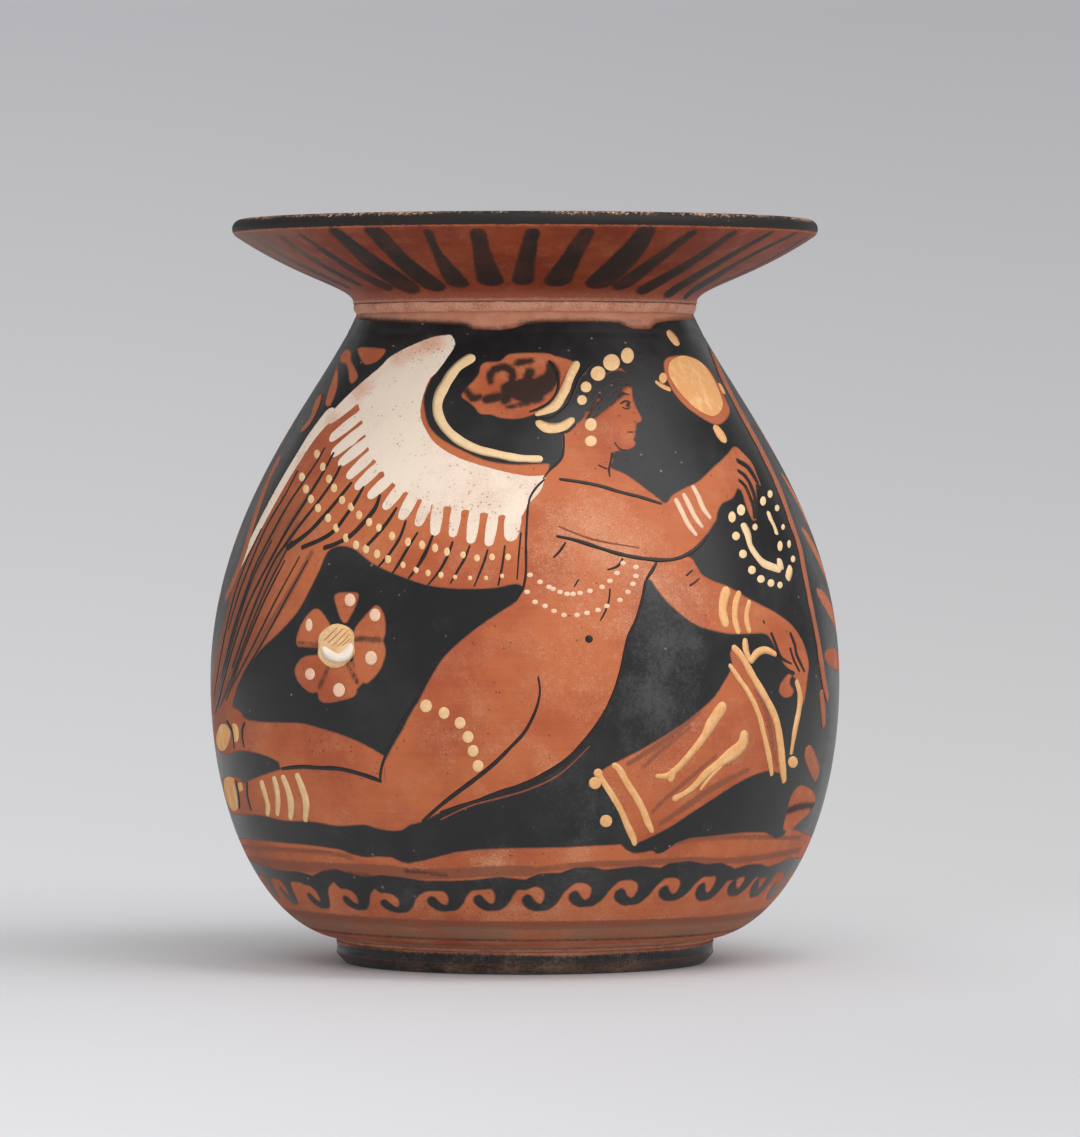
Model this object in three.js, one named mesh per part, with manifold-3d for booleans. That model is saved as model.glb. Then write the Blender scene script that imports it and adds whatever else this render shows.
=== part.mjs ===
// A pear-shaped wine jug of fired clay, with a flared mouth, a low ring foot and a knotted handle.
// Millimetres, +Z up, front of the jug towards -Y and the handle towards +Y.
import * as THREE from 'three';
import { mergeVertices } from 'three/addons/utils/BufferGeometryUtils.js';
import Module from 'manifold-3d';

const wasm = await Module();
wasm.setup();

// Body, measured at its outer face
const bellyRadius = 72.1;
const bellyHeight = 64.5;
const neckRadius = 38.6;
const footJointRadius = 44.1;
const wall = 4.2;
const shoulderPullLength = 39.7;
const neckPullLength = 19.6;
const neckSlope = 0.41;
const lowerPullLength = 33.8;
const basePullLength = 14.4;
const baseSlope = 0.17;

// Mouth, foot and the slip between the thrown pieces
const totalHeight = 170.0;
const mouthRadius = 67.1;
const mouthHeight = 19.2;
const throatPullLength = 3.9;
const throatStep = 0.6;
const flarePullLength = 18.6;
const flareSlope = 0.585;
const neckLutingHeight = 2.4;
const neckLutingBulge = 0.35;
const footHeight = 5.1;
const footLutingHeight = 0.9;
const footLutingInset = 0.4;
const footRadius = 43.3;
const footArrisHeight = 2.3;
const footBevel = 1.8;
const footWaist = 0.2;
const footRingWidth = 9.0;
const restingEdge = 0.6;

// Handle: two coils of clay bent double and linked in a square knot
const strand = 7.4;
const strandClearance = 0.45;
const handleTopRadius = 53.0;
const handleBottomHeight = 86.0;
const handleTopPullLength = 24.0;
const handleTopTurn = 0.42;
const handleBottomPullLength = 42.0;
const handleBottomTurn = 0.55;
const padSideMargin = 3.6;
const upperPadMargin = 5.0;
const lowerPadMargin = 7.0;
const padThickness = 9.0;
const jointGap = 0.3;

// Half of one coil's path in strand pitches: sideways, along the handle, and out from it
const legSpread = 0.55;
const knotEnd = [0, -1.84, 0.5];
const knotHalf = [
  [1.34, -1.73, 0.5],
  [1.9, -0.99, -0.21],
  [1.37, 0, -0.6],
  [legSpread, 1.74, 0.5],
  [legSpread, 3.3, 0.26],
];

// Fineness of the facets
const aroundSteps = 64;
const outerSteps = [12, 14];
const innerSteps = [8, 9];
const mouthSteps = 10;
const mouthInnerSteps = 7;
const lipSteps = 6;
const lookupSteps = 40;
const weldDistance = 1e-4;
const coilSides = 10;
const coilSteps = 60;
const padSides = 20;

// Places that follow from the sizes
const mouthBase = totalHeight - mouthHeight;
const bodyTop = mouthBase - neckLutingHeight;
const bodyBase = footHeight + footLutingHeight;
const lipRadius = wall / 2;
const throatRadius = neckRadius + throatStep;
const pitch = strand + strandClearance;
const padWidth = 2 * (legSpread * pitch + strand / 2 + padSideMargin);

const clayColor = 0xbe6941;
const glazeColor = 0x19191b;

function material(color, roughness) {
  return new THREE.MeshStandardMaterial({ color, roughness, metalness: 0 });
}

function point(radius, height) {
  return new THREE.Vector2(radius, height);
}

// Points of a cubic curve in the profile plane, ends included
function sweep(start, startPull, endPull, end, steps) {
  return new THREE.CubicBezierCurve(start, startPull, endPull, end).getPoints(steps);
}

// The same points moved sideways, to the left of the direction of travel
function offset(points, distance) {
  return points.map((here, i) => {
    const before = points[Math.max(i - 1, 0)];
    const after = points[Math.min(i + 1, points.length - 1)];
    const along = after.clone().sub(before).normalize();
    return point(here.x - along.y * distance, here.y + along.x * distance);
  });
}

// Outer face of the body, from the foot joint up to the neck
function bodyCurve([lowerSteps, upperSteps]) {
  const base = point(footJointRadius, bodyBase);
  const belly = point(bellyRadius, bellyHeight);
  const neck = point(neckRadius, bodyTop);
  const basePull = point(base.x + basePullLength * Math.cos(baseSlope), base.y + basePullLength * Math.sin(baseSlope));
  const neckPull = point(neck.x + neckPullLength * Math.sin(neckSlope), neck.y - neckPullLength * Math.cos(neckSlope));
  const lower = sweep(base, basePull, point(belly.x, belly.y - lowerPullLength), belly, lowerSteps);
  const upper = sweep(belly, point(belly.x, belly.y + shoulderPullLength), neckPull, neck, upperSteps);
  return [...lower, ...upper.slice(1)];
}

function lipCentre() {
  return point(mouthRadius - lipRadius, totalHeight - lipRadius);
}

// Underside of the mouth, from the neck joint out to the lip
function mouthCurve(steps) {
  const base = point(throatRadius, mouthBase);
  const lip = lipCentre();
  const end = point(lip.x + lipRadius * Math.sin(flareSlope), lip.y - lipRadius * Math.cos(flareSlope));
  const endPull = point(end.x - flarePullLength * Math.cos(flareSlope), end.y - flarePullLength * Math.sin(flareSlope));
  return sweep(base, point(base.x, base.y + throatPullLength), endPull, end, steps);
}

// A profile turned about the jug's axis
function turned(profile) {
  return new THREE.LatheGeometry(profile, aroundSteps).rotateX(Math.PI / 2);
}

function bodyGeometry() {
  const inner = offset(bodyCurve(innerSteps), wall);
  inner[0].y = bodyBase + wall;
  inner[inner.length - 1] = point(neckRadius - wall, bodyTop);
  return turned([point(0, bodyBase), ...bodyCurve(outerSteps), ...inner.reverse(), point(0, bodyBase + wall)]);
}

function mouthGeometry() {
  const lip = lipCentre();
  const inner = offset(mouthCurve(mouthInnerSteps), wall);
  inner[0] = point(throatRadius - wall, mouthBase);
  const round = new THREE.EllipseCurve(
    lip.x, lip.y, lipRadius, lipRadius, flareSlope - Math.PI / 2, flareSlope + Math.PI / 2).getPoints(lipSteps);
  const outer = mouthCurve(mouthSteps);
  return turned([...outer, ...round.slice(1, -1), ...inner.reverse(), outer[0]]);
}

function neckLutingGeometry() {
  const middle = (bodyTop + mouthBase) / 2;
  return turned([
    point(neckRadius, bodyTop),
    point((neckRadius + throatRadius) / 2 + neckLutingBulge, middle),
    point(throatRadius, mouthBase),
    point(throatRadius - wall, mouthBase),
    point(neckRadius - wall, bodyTop),
    point(neckRadius, bodyTop),
  ]);
}

function footLutingGeometry() {
  const outer = footRadius - footLutingInset;
  const inner = footRadius - footRingWidth + footLutingInset;
  return turned([
    point(outer, footHeight),
    point(outer, bodyBase),
    point(inner, bodyBase),
    point(inner, footHeight),
    point(outer, footHeight),
  ]);
}

function footGeometry() {
  const inner = footRadius - footRingWidth;
  return turned([
    point(inner + restingEdge, 0),
    point(footRadius - footBevel, 0),
    point(footRadius, footArrisHeight),
    point(footRadius - footWaist, (footArrisHeight + footHeight) / 2),
    point(footRadius, footHeight),
    point(inner, footHeight),
    point(inner, restingEdge),
    point(inner + restingEdge, 0),
  ]);
}

// A closed geometry as a solid that can be cut, and back
function solid(geometry) {
  const plain = geometry.clone();
  plain.deleteAttribute('normal');
  plain.deleteAttribute('uv');
  const merged = mergeVertices(plain, weldDistance);
  return new wasm.Manifold(new wasm.Mesh({
    numProp: 3,
    vertProperties: new Float32Array(merged.attributes.position.array),
    triVerts: new Uint32Array(merged.index.array),
  }));
}

function geometryOf(cutSolid) {
  const mesh = cutSolid.getMesh();
  const geometry = new THREE.BufferGeometry();
  geometry.setAttribute('position', new THREE.BufferAttribute(new Float32Array(mesh.vertProperties), 3));
  geometry.setIndex(new THREE.BufferAttribute(new Uint32Array(mesh.triVerts), 1));
  geometry.computeVertexNormals();
  return geometry;
}

// The space that the mouth and body fill, grown by the joint gap
function wallSpace() {
  const body = offset(bodyCurve(outerSteps), -jointGap);
  const mouth = offset(mouthCurve(mouthSteps), -jointGap);
  const bodySpace = turned([point(0, body[0].y), ...body, point(0, body[body.length - 1].y)]);
  const mouthSpace = turned([point(0, mouth[0].y), ...mouth, point(0, totalHeight)]);
  return [solid(bodySpace), solid(mouthSpace)];
}

// Radius of a profile at a height, and height at a radius
function radiusAt(points, height) {
  const i = points.findIndex((p) => p.y > height && p.y > bellyHeight);
  const share = (height - points[i - 1].y) / (points[i].y - points[i - 1].y);
  return THREE.MathUtils.lerp(points[i - 1].x, points[i].x, share);
}

function heightAt(points, radius) {
  const i = points.findIndex((p) => p.x > radius);
  const share = (radius - points[i - 1].x) / (points[i].x - points[i - 1].x);
  return THREE.MathUtils.lerp(points[i - 1].y, points[i].y, share);
}

// Direction square to a profile near a point of it, pointing away from the clay, in the plane x = 0
function outwardAt(points, radius, height) {
  const gaps = points.map((p) => Math.hypot(p.x - radius, p.y - height));
  const near = THREE.MathUtils.clamp(gaps.indexOf(Math.min(...gaps)), 1, points.length - 2);
  const along = points[near + 1].clone().sub(points[near - 1]).normalize();
  return new THREE.Vector3(0, along.y, -along.x);
}

// Middle line of the handle in the plane x = 0, from the mouth's underside down to the belly
function handleSpine() {
  const mouth = mouthCurve(lookupSteps);
  const body = bodyCurve([lookupSteps, lookupSteps]);
  const top = new THREE.Vector3(0, handleTopRadius, heightAt(mouth, handleTopRadius));
  const bottom = new THREE.Vector3(0, radiusAt(body, handleBottomHeight), handleBottomHeight);
  const axisX = new THREE.Vector3(1, 0, 0);
  const topPull = outwardAt(mouth, top.y, top.z).applyAxisAngle(axisX, handleTopTurn);
  const bottomPull = outwardAt(body, bottom.y, bottom.z).applyAxisAngle(axisX, handleBottomTurn);
  return new THREE.CubicBezierCurve3(
    top,
    top.clone().addScaledVector(topPull, handleTopPullLength),
    bottom.clone().addScaledVector(bottomPull, handleBottomPullLength),
    bottom,
  );
}

const spine = handleSpine();
const halfLength = spine.getLength() / 2;

// A place beside the spine: sideways, along it from its middle (up is positive), and out from it
function beside(sideways, along, out) {
  const share = THREE.MathUtils.clamp(0.5 - along / (2 * halfLength), 0, 1);
  const tangent = spine.getTangentAt(share);
  const outward = new THREE.Vector3(0, -tangent.z, tangent.y);
  const beyond = along - (0.5 - share) * 2 * halfLength;
  return spine.getPointAt(share).addScaledVector(outward, out).addScaledVector(tangent, -beyond).setX(sideways);
}

// Path of one coil bent double, with its two ends in the wall; side is 1 for the upper coil
function coilPath(side) {
  const legs = [...knotHalf, [legSpread, (halfLength + strand / 2) / pitch, 0]];
  const left = legs.map(([u, v, w]) => [-u, v, w]).reverse();
  const places = [...left, knotEnd, ...legs].map(([u, v, w]) =>
    beside(u * pitch, v * pitch * side, w * pitch * side));
  return new THREE.CatmullRomCurve3(places, false, 'centripetal');
}

function coilGeometry(side, radius) {
  const corners = [];
  for (let i = 0; i < coilSides; i += 1) {
    const angle = (i / coilSides) * 2 * Math.PI;
    corners.push(point(radius * Math.cos(angle), radius * Math.sin(angle)));
  }
  return new THREE.ExtrudeGeometry(new THREE.Shape(corners), { steps: coilSteps, extrudePath: coilPath(side) });
}

// A wad of clay pressed round the ends of one coil where it meets the wall
function padGeometry(points, place, length) {
  const outward = outwardAt(points, place.y, place.z);
  const ball = new THREE.SphereGeometry(0.5, padSides, padSides / 2).scale(padWidth, padThickness, length);
  return ball.rotateX(Math.atan2(outward.z, outward.y)).translate(0, place.y, place.z);
}

const [bodySpace, mouthSpace] = wallSpace();

function coil(side) {
  return geometryOf(solid(coilGeometry(side, strand / 2)).subtract(bodySpace).subtract(mouthSpace));
}

function pad(points, place, length, side) {
  const socket = solid(coilGeometry(side, strand / 2 + jointGap));
  const wad = solid(padGeometry(points, place, length));
  return geometryOf(wad.subtract(bodySpace).subtract(mouthSpace).subtract(socket));
}

const upperPad = pad(mouthCurve(lookupSteps), spine.v0, strand + 2 * upperPadMargin, 1);
const lowerPad = pad(bodyCurve([lookupSteps, lookupSteps]), spine.v3, strand + 2 * lowerPadMargin, -1);

const glaze = () => material(glazeColor, 0.3);
const clay = () => material(clayColor, 0.7);

const pieces = [
  ['foot', footGeometry(), clay()],
  ['foot_luting', footLutingGeometry(), clay()],
  ['body', bodyGeometry(), glaze()],
  ['neck_luting', neckLutingGeometry(), clay()],
  ['mouth', mouthGeometry(), clay()],
  ['handle_upper_loop', coil(1), glaze()],
  ['handle_lower_loop', coil(-1), glaze()],
  ['handle_upper_pad', upperPad, glaze()],
  ['handle_lower_pad', lowerPad, glaze()],
];

const jug = new THREE.Group();
for (const [name, geometry, look] of pieces) {
  const mesh = new THREE.Mesh(geometry, look);
  mesh.name = name;
  jug.add(mesh);
}

// The frame's origin is under the middle of the whole jug, handle included
const middle = new THREE.Box3().setFromObject(jug).getCenter(new THREE.Vector3());
jug.position.set(0, -middle.y, 0);

export default jug;
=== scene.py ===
import math
import random

import bmesh
import bpy
import numpy as np
from mathutils import Matrix, Vector, noise
from mathutils.bvhtree import BVHTree


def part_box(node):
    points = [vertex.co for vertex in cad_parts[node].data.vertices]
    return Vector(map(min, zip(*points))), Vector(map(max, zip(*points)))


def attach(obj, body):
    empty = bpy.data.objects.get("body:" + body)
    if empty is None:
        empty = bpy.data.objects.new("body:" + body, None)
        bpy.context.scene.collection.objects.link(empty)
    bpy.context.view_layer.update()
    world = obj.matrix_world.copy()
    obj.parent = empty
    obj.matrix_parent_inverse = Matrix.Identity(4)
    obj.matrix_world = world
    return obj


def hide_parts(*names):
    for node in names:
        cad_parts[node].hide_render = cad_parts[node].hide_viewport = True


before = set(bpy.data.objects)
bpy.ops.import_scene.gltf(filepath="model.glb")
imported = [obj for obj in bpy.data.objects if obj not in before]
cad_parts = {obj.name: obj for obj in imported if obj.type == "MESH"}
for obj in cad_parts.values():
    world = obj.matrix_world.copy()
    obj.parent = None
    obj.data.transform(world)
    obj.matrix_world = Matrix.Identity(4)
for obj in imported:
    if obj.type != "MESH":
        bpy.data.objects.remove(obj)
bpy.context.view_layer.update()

# Camera. It stands where the photograph was taken from: far off with a long lens, a little above
# the belly and almost level, so that the jug is seen nearly square on.
MM = 0.001
CLIPPING = (0.1, 50.0)
body_low, body_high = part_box("body")
AXIS_Y = (body_low.y + body_high.y) / 2
PHOTO_WIDTH = 1080
PHOTO_HEIGHT = 1137
eye_distance = 1.583
eye_height = 0.1185
eye_pitch = math.radians(1.025)
eye_yaw = math.radians(0.1246)
lens_length = 218.5
sensor_long_side = 36.0


def add_object(name, data):
    made = bpy.data.objects.new(name, data)
    bpy.context.scene.collection.objects.link(made)
    return made


eye_data = bpy.data.cameras.new("eye")
eye_data.lens = lens_length
eye_data.sensor_width = sensor_long_side
eye_data.clip_start, eye_data.clip_end = CLIPPING
eye = add_object("eye", eye_data)
eye.location = (0, AXIS_Y - eye_distance, eye_height)
eye.rotation_euler = (math.pi / 2 - eye_pitch, 0, -eye_yaw)
bpy.context.scene.camera = eye
bpy.context.scene.view_settings.view_transform = "Standard"

# Studio. A pale table, painted a little darker at the right in front as painted shade, runs back
# into a grey wall of light, which dims above and beside the view.
# A large soft lamp stands at the right, a fill in front, a small lamp high up, and two narrow ones
# behind for the gleam along the edges.
TABLE_RADIUS = 3.0
TABLE_SIDES_COUNT = 96
TABLE_ROUGH = 0.6
TABLE_SPECULAR = 0.2
TABLE_LEFT = (212, 212, 215)
TABLE_RIGHT = (197, 197, 200)
TABLE_SIDES = (-0.12, 0.12)
TABLE_BACK = (212, 212, 214)
TABLE_SHADE = (-0.30, 0.06)
TABLE_FADE = (0.02, 0.32)
WALL_SPAN = (-0.062, 0.062)
WALL_SIDES = (-0.09, 0.09)
WALL_LOW = ((215, 215, 217), (208, 208, 209))
WALL_HIGH = ((182, 182, 186), (176, 175, 179))
WALL_LIGHT = 0.67
WALL_AROUND = (58, 58, 60)
WALL_AHEAD = (0.2, 0.6)
DIM_ABOVE = (0.12, 0.32)
DIM_BESIDE = (0.11, 0.26)
DIM_SIDES = 0.8
WHITE_LIGHT = (255, 255, 255)
UNMIRRORED_LAMP = "lamp_front"
LAMPS = {
    # name: turn from the camera's side towards the right, height angle, distance, width, height, watts
    "lamp_right": (60, 40, 1.5, 1.3, 1.3, 8.5),
    "lamp_edge_right": (150, 12, 1.5, 0.5, 1.2, 1.0),
    "lamp_edge_left": (-150, 12, 1.5, 0.5, 1.2, 0.7),
    "lamp_front": (0, 29, 1.7, 1.2, 1.0, 11.8),
    "lamp_over": (34, 70, 1.3, 0.35, 0.35, 2.4),
}


def paint(red, green, blue):
    """A screen colour, 0 to 255, as the linear colour that the shaders take."""
    parts = []
    for part in (red, green, blue):
        share = part / 255
        parts.append(share / 12.92 if share <= 0.04045 else ((share + 0.055) / 1.055) ** 2.4)
    return (*parts, 1.0)


class Signal:
    """One value on its way through a material's nodes, with sums written as Python sums."""

    def __init__(self, tree, socket):
        self.tree = tree
        self.socket = socket

    def into(self, operation, *values):
        step = self.tree.nodes.new("ShaderNodeMath")
        step.operation = operation
        for place, value in zip(step.inputs, values):
            if isinstance(value, Signal):
                self.tree.links.new(value.socket, place)
            else:
                place.default_value = value
        return Signal(self.tree, step.outputs[0])

    def __add__(self, other):
        return self.into("ADD", self, other)

    def __radd__(self, other):
        return self.into("ADD", other, self)

    def __sub__(self, other):
        return self.into("SUBTRACT", self, other)

    def __rsub__(self, other):
        return self.into("SUBTRACT", other, self)

    def __mul__(self, other):
        return self.into("MULTIPLY", self, other)

    def __rmul__(self, other):
        return self.into("MULTIPLY", other, self)

    def __truediv__(self, other):
        return self.into("DIVIDE", self, other)

    def __rtruediv__(self, other):
        return self.into("DIVIDE", other, self)

    def __abs__(self):
        return self.into("ABSOLUTE", self)

    def at_least(self, other):
        return self.into("MAXIMUM", self, other)


class Nodes:
    """The nodes of one material or world."""

    def __init__(self, tree):
        self.tree = tree

    def node(self, kind, settings, values, output=0):
        made = self.tree.nodes.new(kind)
        for name, value in settings.items():
            setattr(made, name, value)
        for name, value in values.items():
            if isinstance(value, Signal):
                self.tree.links.new(value.socket, made.inputs[name])
            else:
                made.inputs[name].default_value = value
        return Signal(self.tree, made.outputs[output])

    def object_place(self):
        return self.node("ShaderNodeTexCoord", {}, {}, "Object")

    def axis(self, place, axis):
        return self.node("ShaderNodeSeparateXYZ", {}, {"Vector": place}, axis)

    def field(self, name):
        return self.node("ShaderNodeAttribute", {"attribute_name": name}, {}, "Fac")

    def mixed(self, share, first, second):
        """First where share is 0 and second where it is 1; each a signal or a screen colour."""
        first, second = (part if isinstance(part, Signal) else paint(*part) for part in (first, second))
        return self.node("ShaderNodeMix", {"data_type": "RGBA"}, {0: share, 6: first, 7: second}, 2)

    def layered(self, below, layers):
        """One colour over another, each by the share it covers of what lies below."""
        for share, color in layers:
            below = self.mixed(share, below, color)
        return below

    def ramp(self, value, low, high):
        """0 below low, 1 above high, and a smooth step between."""
        settings = {"interpolation_type": "SMOOTHSTEP"}
        values = {"Value": value, "From Min": low, "From Max": high}
        return self.node("ShaderNodeMapRange", settings, values)

    def cloud(self, place, scale, detail=2.0, roughness=0.5, stretch=None):
        """Soft noise around 0.5; stretch scales the three directions."""
        if stretch:
            place = self.node("ShaderNodeMapping", {}, {"Vector": place, "Scale": stretch})
        values = {"Vector": place, "Scale": scale, "Detail": detail, "Roughness": roughness}
        return self.node("ShaderNodeTexNoise", {}, values, "Fac")

    def spots(self, place, scale, small, large):
        """1 in small round spots, 0 between them, soft from one radius to the other."""
        away = self.node("ShaderNodeTexVoronoi", {}, {"Vector": place, "Scale": scale}, "Distance")
        return 1 - self.ramp(away, small, large)


class Finish(Nodes):
    """A material, its nodes and its main shader."""

    def __init__(self, name, **constants):
        self.material = bpy.data.materials.new(name)
        self.material.use_nodes = True
        super().__init__(self.material.node_tree)
        self.shader = self.tree.nodes["Principled BSDF"]
        for label, value in constants.items():
            self.shader.inputs[label.replace("_", " ")].default_value = value

    def feed(self, label, value):
        self.tree.links.new(value.socket, self.shader.inputs[label])

    def bumped(self, height, distance):
        """Height 1 stands distance, in metres, above height 0."""
        values = {"Height": height, "Distance": distance, "Strength": 1.0}
        self.feed("Normal", self.node("ShaderNodeBump", {}, values, "Normal"))


def wall_shade(nodes, rise, across):
    """The wall's colour for a line of sight: paler low down, and a little paler on the left."""
    ends = {"From Min": WALL_SPAN[0], "From Max": WALL_SPAN[1]}
    share = nodes.node("ShaderNodeMapRange", {}, {"Value": rise, **ends})
    side = nodes.ramp(across, *WALL_SIDES)
    return nodes.mixed(share, nodes.mixed(side, *WALL_LOW), nodes.mixed(side, *WALL_HIGH))


def looking(nodes):
    """1 for what the camera sees, also in a mirror or through glass, and 0 for light."""
    seen = [nodes.node("ShaderNodeLightPath", {}, {}, ray) for ray in
            ("Is Camera Ray", "Is Glossy Ray", "Is Transmission Ray")]
    return nodes.node("ShaderNodeClamp", {}, {"Value": seen[0] + seen[1] + seen[2]})


table_mesh = bmesh.new()
bmesh.ops.create_circle(table_mesh, cap_ends=True, segments=TABLE_SIDES_COUNT, radius=TABLE_RADIUS)
table_data = bpy.data.meshes.new("table_top")
table_mesh.to_mesh(table_data)
table_mesh.free()
table_top = add_object("table_top", table_data)
table_finish = Finish("pale_table", Roughness=TABLE_ROUGH, Specular_IOR_Level=TABLE_SPECULAR)
table_place = table_finish.object_place()
across, depth = (table_finish.axis(table_place, axis) for axis in "XY")
away = depth + eye_distance
far_color = wall_shade(table_finish, -eye_height / away, across / away)
# painted shade: the table's own colour is darker to the right in front and evens out towards the back
front_color = table_finish.mixed(table_finish.ramp(across, *TABLE_SIDES), TABLE_LEFT, TABLE_RIGHT)
near_color = table_finish.mixed(table_finish.ramp(depth, *TABLE_SHADE), front_color, TABLE_BACK)
table_finish.feed("Base Color", near_color)
backdrop = table_finish.node("ShaderNodeEmission", {}, {"Color": far_color, "Strength": 1.0}, "Emission")
fading = table_finish.ramp(depth, *TABLE_FADE) * looking(table_finish)
table_surface = Signal(table_finish.tree, table_finish.shader.outputs["BSDF"])
table_look = table_finish.node("ShaderNodeMixShader", {}, {0: fading, 1: table_surface, 2: backdrop})
table_out = table_finish.tree.nodes["Material Output"]
table_finish.tree.links.new(table_look.socket, table_out.inputs["Surface"])
table_data.materials.append(table_finish.material)

world = bpy.data.worlds.new("studio")
bpy.context.scene.world = world
world.use_nodes = True
wall = Nodes(world.node_tree)
for old in list(world.node_tree.nodes):
    world.node_tree.nodes.remove(old)
look = wall.node("ShaderNodeTexCoord", {}, {}, "Generated")
aside, ahead, rise = (wall.axis(look, axis) for axis in "XYZ")
above = wall.ramp(abs(rise), *DIM_ABOVE)
dim = above.at_least(wall.ramp(abs(aside), *DIM_BESIDE) * DIM_SIDES) * wall.ramp(ahead, *WALL_AHEAD)
wall_color = wall.mixed(dim, wall_shade(wall, rise, aside), WALL_AROUND)
seen_wall = wall.node("ShaderNodeBackground", {}, {"Color": wall_color, "Strength": 1.0})
lit_wall = wall.node("ShaderNodeBackground", {}, {"Color": paint(*WHITE_LIGHT), "Strength": WALL_LIGHT})
shown = wall.node("ShaderNodeMixShader", {}, {0: looking(wall), 1: lit_wall, 2: seen_wall})
world_out = world.node_tree.nodes.new("ShaderNodeOutputWorld")
world.node_tree.links.new(shown.socket, world_out.inputs["Surface"])

for lamp_name, (turn, climb, distance, wide, high, watts) in LAMPS.items():
    lamp_data = bpy.data.lights.new(lamp_name, "AREA")
    lamp_data.shape = "RECTANGLE"
    lamp_data.size = wide
    lamp_data.size_y = high
    lamp_data.energy = watts
    lamp = add_object(lamp_name, lamp_data)
    around, up = math.radians(turn), math.radians(climb)
    toward = Vector((math.sin(around) * math.cos(up), -math.cos(around) * math.cos(up), math.sin(up)))
    lamp.visible_glossy = lamp_name != UNMIRRORED_LAMP
    lamp.location = Vector((0, AXIS_Y, body_high.z / 2)) + toward * distance
    lamp.rotation_euler = (-toward).to_track_quat("-Z", "Y").to_euler()


# Body. Thrown in one piece with its floor, shoulder and the start of the neck, in orange-red clay.
# It was dipped in fine slip that fired black; the picture and the bands are the clay left bare.
BELLY_RADIUS = 72.1
BELLY_HEIGHT = 64.5
NECK_RADIUS = 38.6
NECK_TOP = 148.4
FOOT_JOINT_RADIUS = 44.1
FOOT_JOINT_HEIGHT = 6.0
WALL = 4.2
BASE_PULL = (14.4, 0.17)
LOWER_PULL = 33.8
SHOULDER_PULL = 39.7
NECK_PULL = (19.6, 0.41)
BODY_COLUMNS = 392
WEDGES = 14
BODY_BUNCHING = 0.5
BODY_ROW = 0.71
INNER_ROW = 11.0
CURVE_STEPS = 200
REACH = 3.0
AXIS_PIXEL = 525
WHEEL_LOBES = [(2, 0.020, 0.04, 0.0), (3, 0.014, 0.09, 1.3), (7, 0.006, 0.21, 4.0)]
WHEEL_RINGS = 46
WHEEL_RING_WIDTHS = (0.5, 1.6)
WHEEL_RING_DEPTHS = (-0.015, 0.015)
WHEEL_SEED = 11
SMOOTH_ENDS = 1.0
OUTSIDE_LIMIT = 0.5
LEAST_RADIUS = 5
AIM_TRIES = 60
AIM_STEP = 0.004
GROOVE_HEIGHT = 143.6
GROOVE_WIDTH = 0.5
GROOVE_DEPTH = 0.12


def cubic(start, start_pull, end_pull, end, steps=CURVE_STEPS):
    """Points of a cubic curve in the plane of a profile, ends included."""
    t = np.linspace(0, 1, steps + 1)[:, None]
    start, start_pull, end_pull, end = (np.array(p, float) for p in (start, start_pull, end_pull, end))
    early = (1 - t) ** 3 * start + 3 * (1 - t) ** 2 * t * start_pull
    return early + 3 * (1 - t) * t**2 * end_pull + t**3 * end


def travelled(points):
    """Length walked along a line of points up to each of them."""
    return np.concatenate([[0], np.cumsum(np.linalg.norm(np.diff(points, axis=0), axis=1))])


def spaced(points, gap):
    """The same line with its points a given gap apart."""
    along = travelled(points)
    places = np.linspace(0, along[-1], max(2, round(along[-1] / gap) + 1))
    return np.stack([np.interp(places, along, points[:, i]) for i in range(points.shape[1])], 1)


def moved_in(points, distance):
    """A profile moved sideways, to the left of its direction."""
    along = np.gradient(points, axis=0)
    along /= np.linalg.norm(along, axis=1)[:, None]
    return points + distance * np.stack([-along[:, 1], along[:, 0]], 1)


def finished(name, shell):
    """Makes an object of a bmesh, with smooth faces that look outwards."""
    bmesh.ops.recalc_face_normals(shell, faces=shell.faces)
    for face in shell.faces:
        face.smooth = True
    mesh = bpy.data.meshes.new(name)
    shell.to_mesh(mesh)
    shell.free()
    return add_object(name, mesh)


def turned(name, profile, columns, closed=False, bunching=0.0):
    """A profile in mm spun round the jug's axis; bunching crowds the columns towards the front."""
    shell = bmesh.new()
    verts = [shell.verts.new((0, -radius * MM, height * MM)) for radius, height in profile]
    pairs = list(zip(verts, verts[1:])) + ([(verts[-1], verts[0])] if closed else [])
    edges = [shell.edges.new(pair) for pair in pairs]
    wedge = 2 * math.pi / WEDGES
    bmesh.ops.spin(
        shell, geom=verts + edges, cent=(0, 0, 0), axis=(0, 0, 1), angle=wedge, steps=columns // WEDGES)
    first = shell.verts[:] + shell.edges[:] + shell.faces[:]
    for i in range(1, WEDGES):
        copied = bmesh.ops.duplicate(shell, geom=first)["geom"]
        corners = [part for part in copied if isinstance(part, bmesh.types.BMVert)]
        bmesh.ops.rotate(shell, verts=corners, cent=(0, 0, 0), matrix=Matrix.Rotation(i * wedge, 3, "Z"))
    bmesh.ops.remove_doubles(shell, verts=shell.verts, dist=1e-6)
    for vert in shell.verts:
        radius, angle = math.hypot(vert.co.x, vert.co.y), math.atan2(vert.co.x, -vert.co.y)
        angle -= bunching * math.sin(angle)
        vert.co.x, vert.co.y = radius * math.sin(angle), AXIS_Y - radius * math.cos(angle)
    return finished(name, shell)


def sight_line(across, down):
    """Direction from the camera through a place in the photograph, given in its pixels."""
    scale = sensor_long_side / PHOTO_HEIGHT / lens_length
    ray = Vector(((across - PHOTO_WIDTH / 2) * scale, (PHOTO_HEIGHT / 2 - down) * scale, -1))
    return (eye.rotation_euler.to_matrix() @ ray).normalized()


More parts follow.
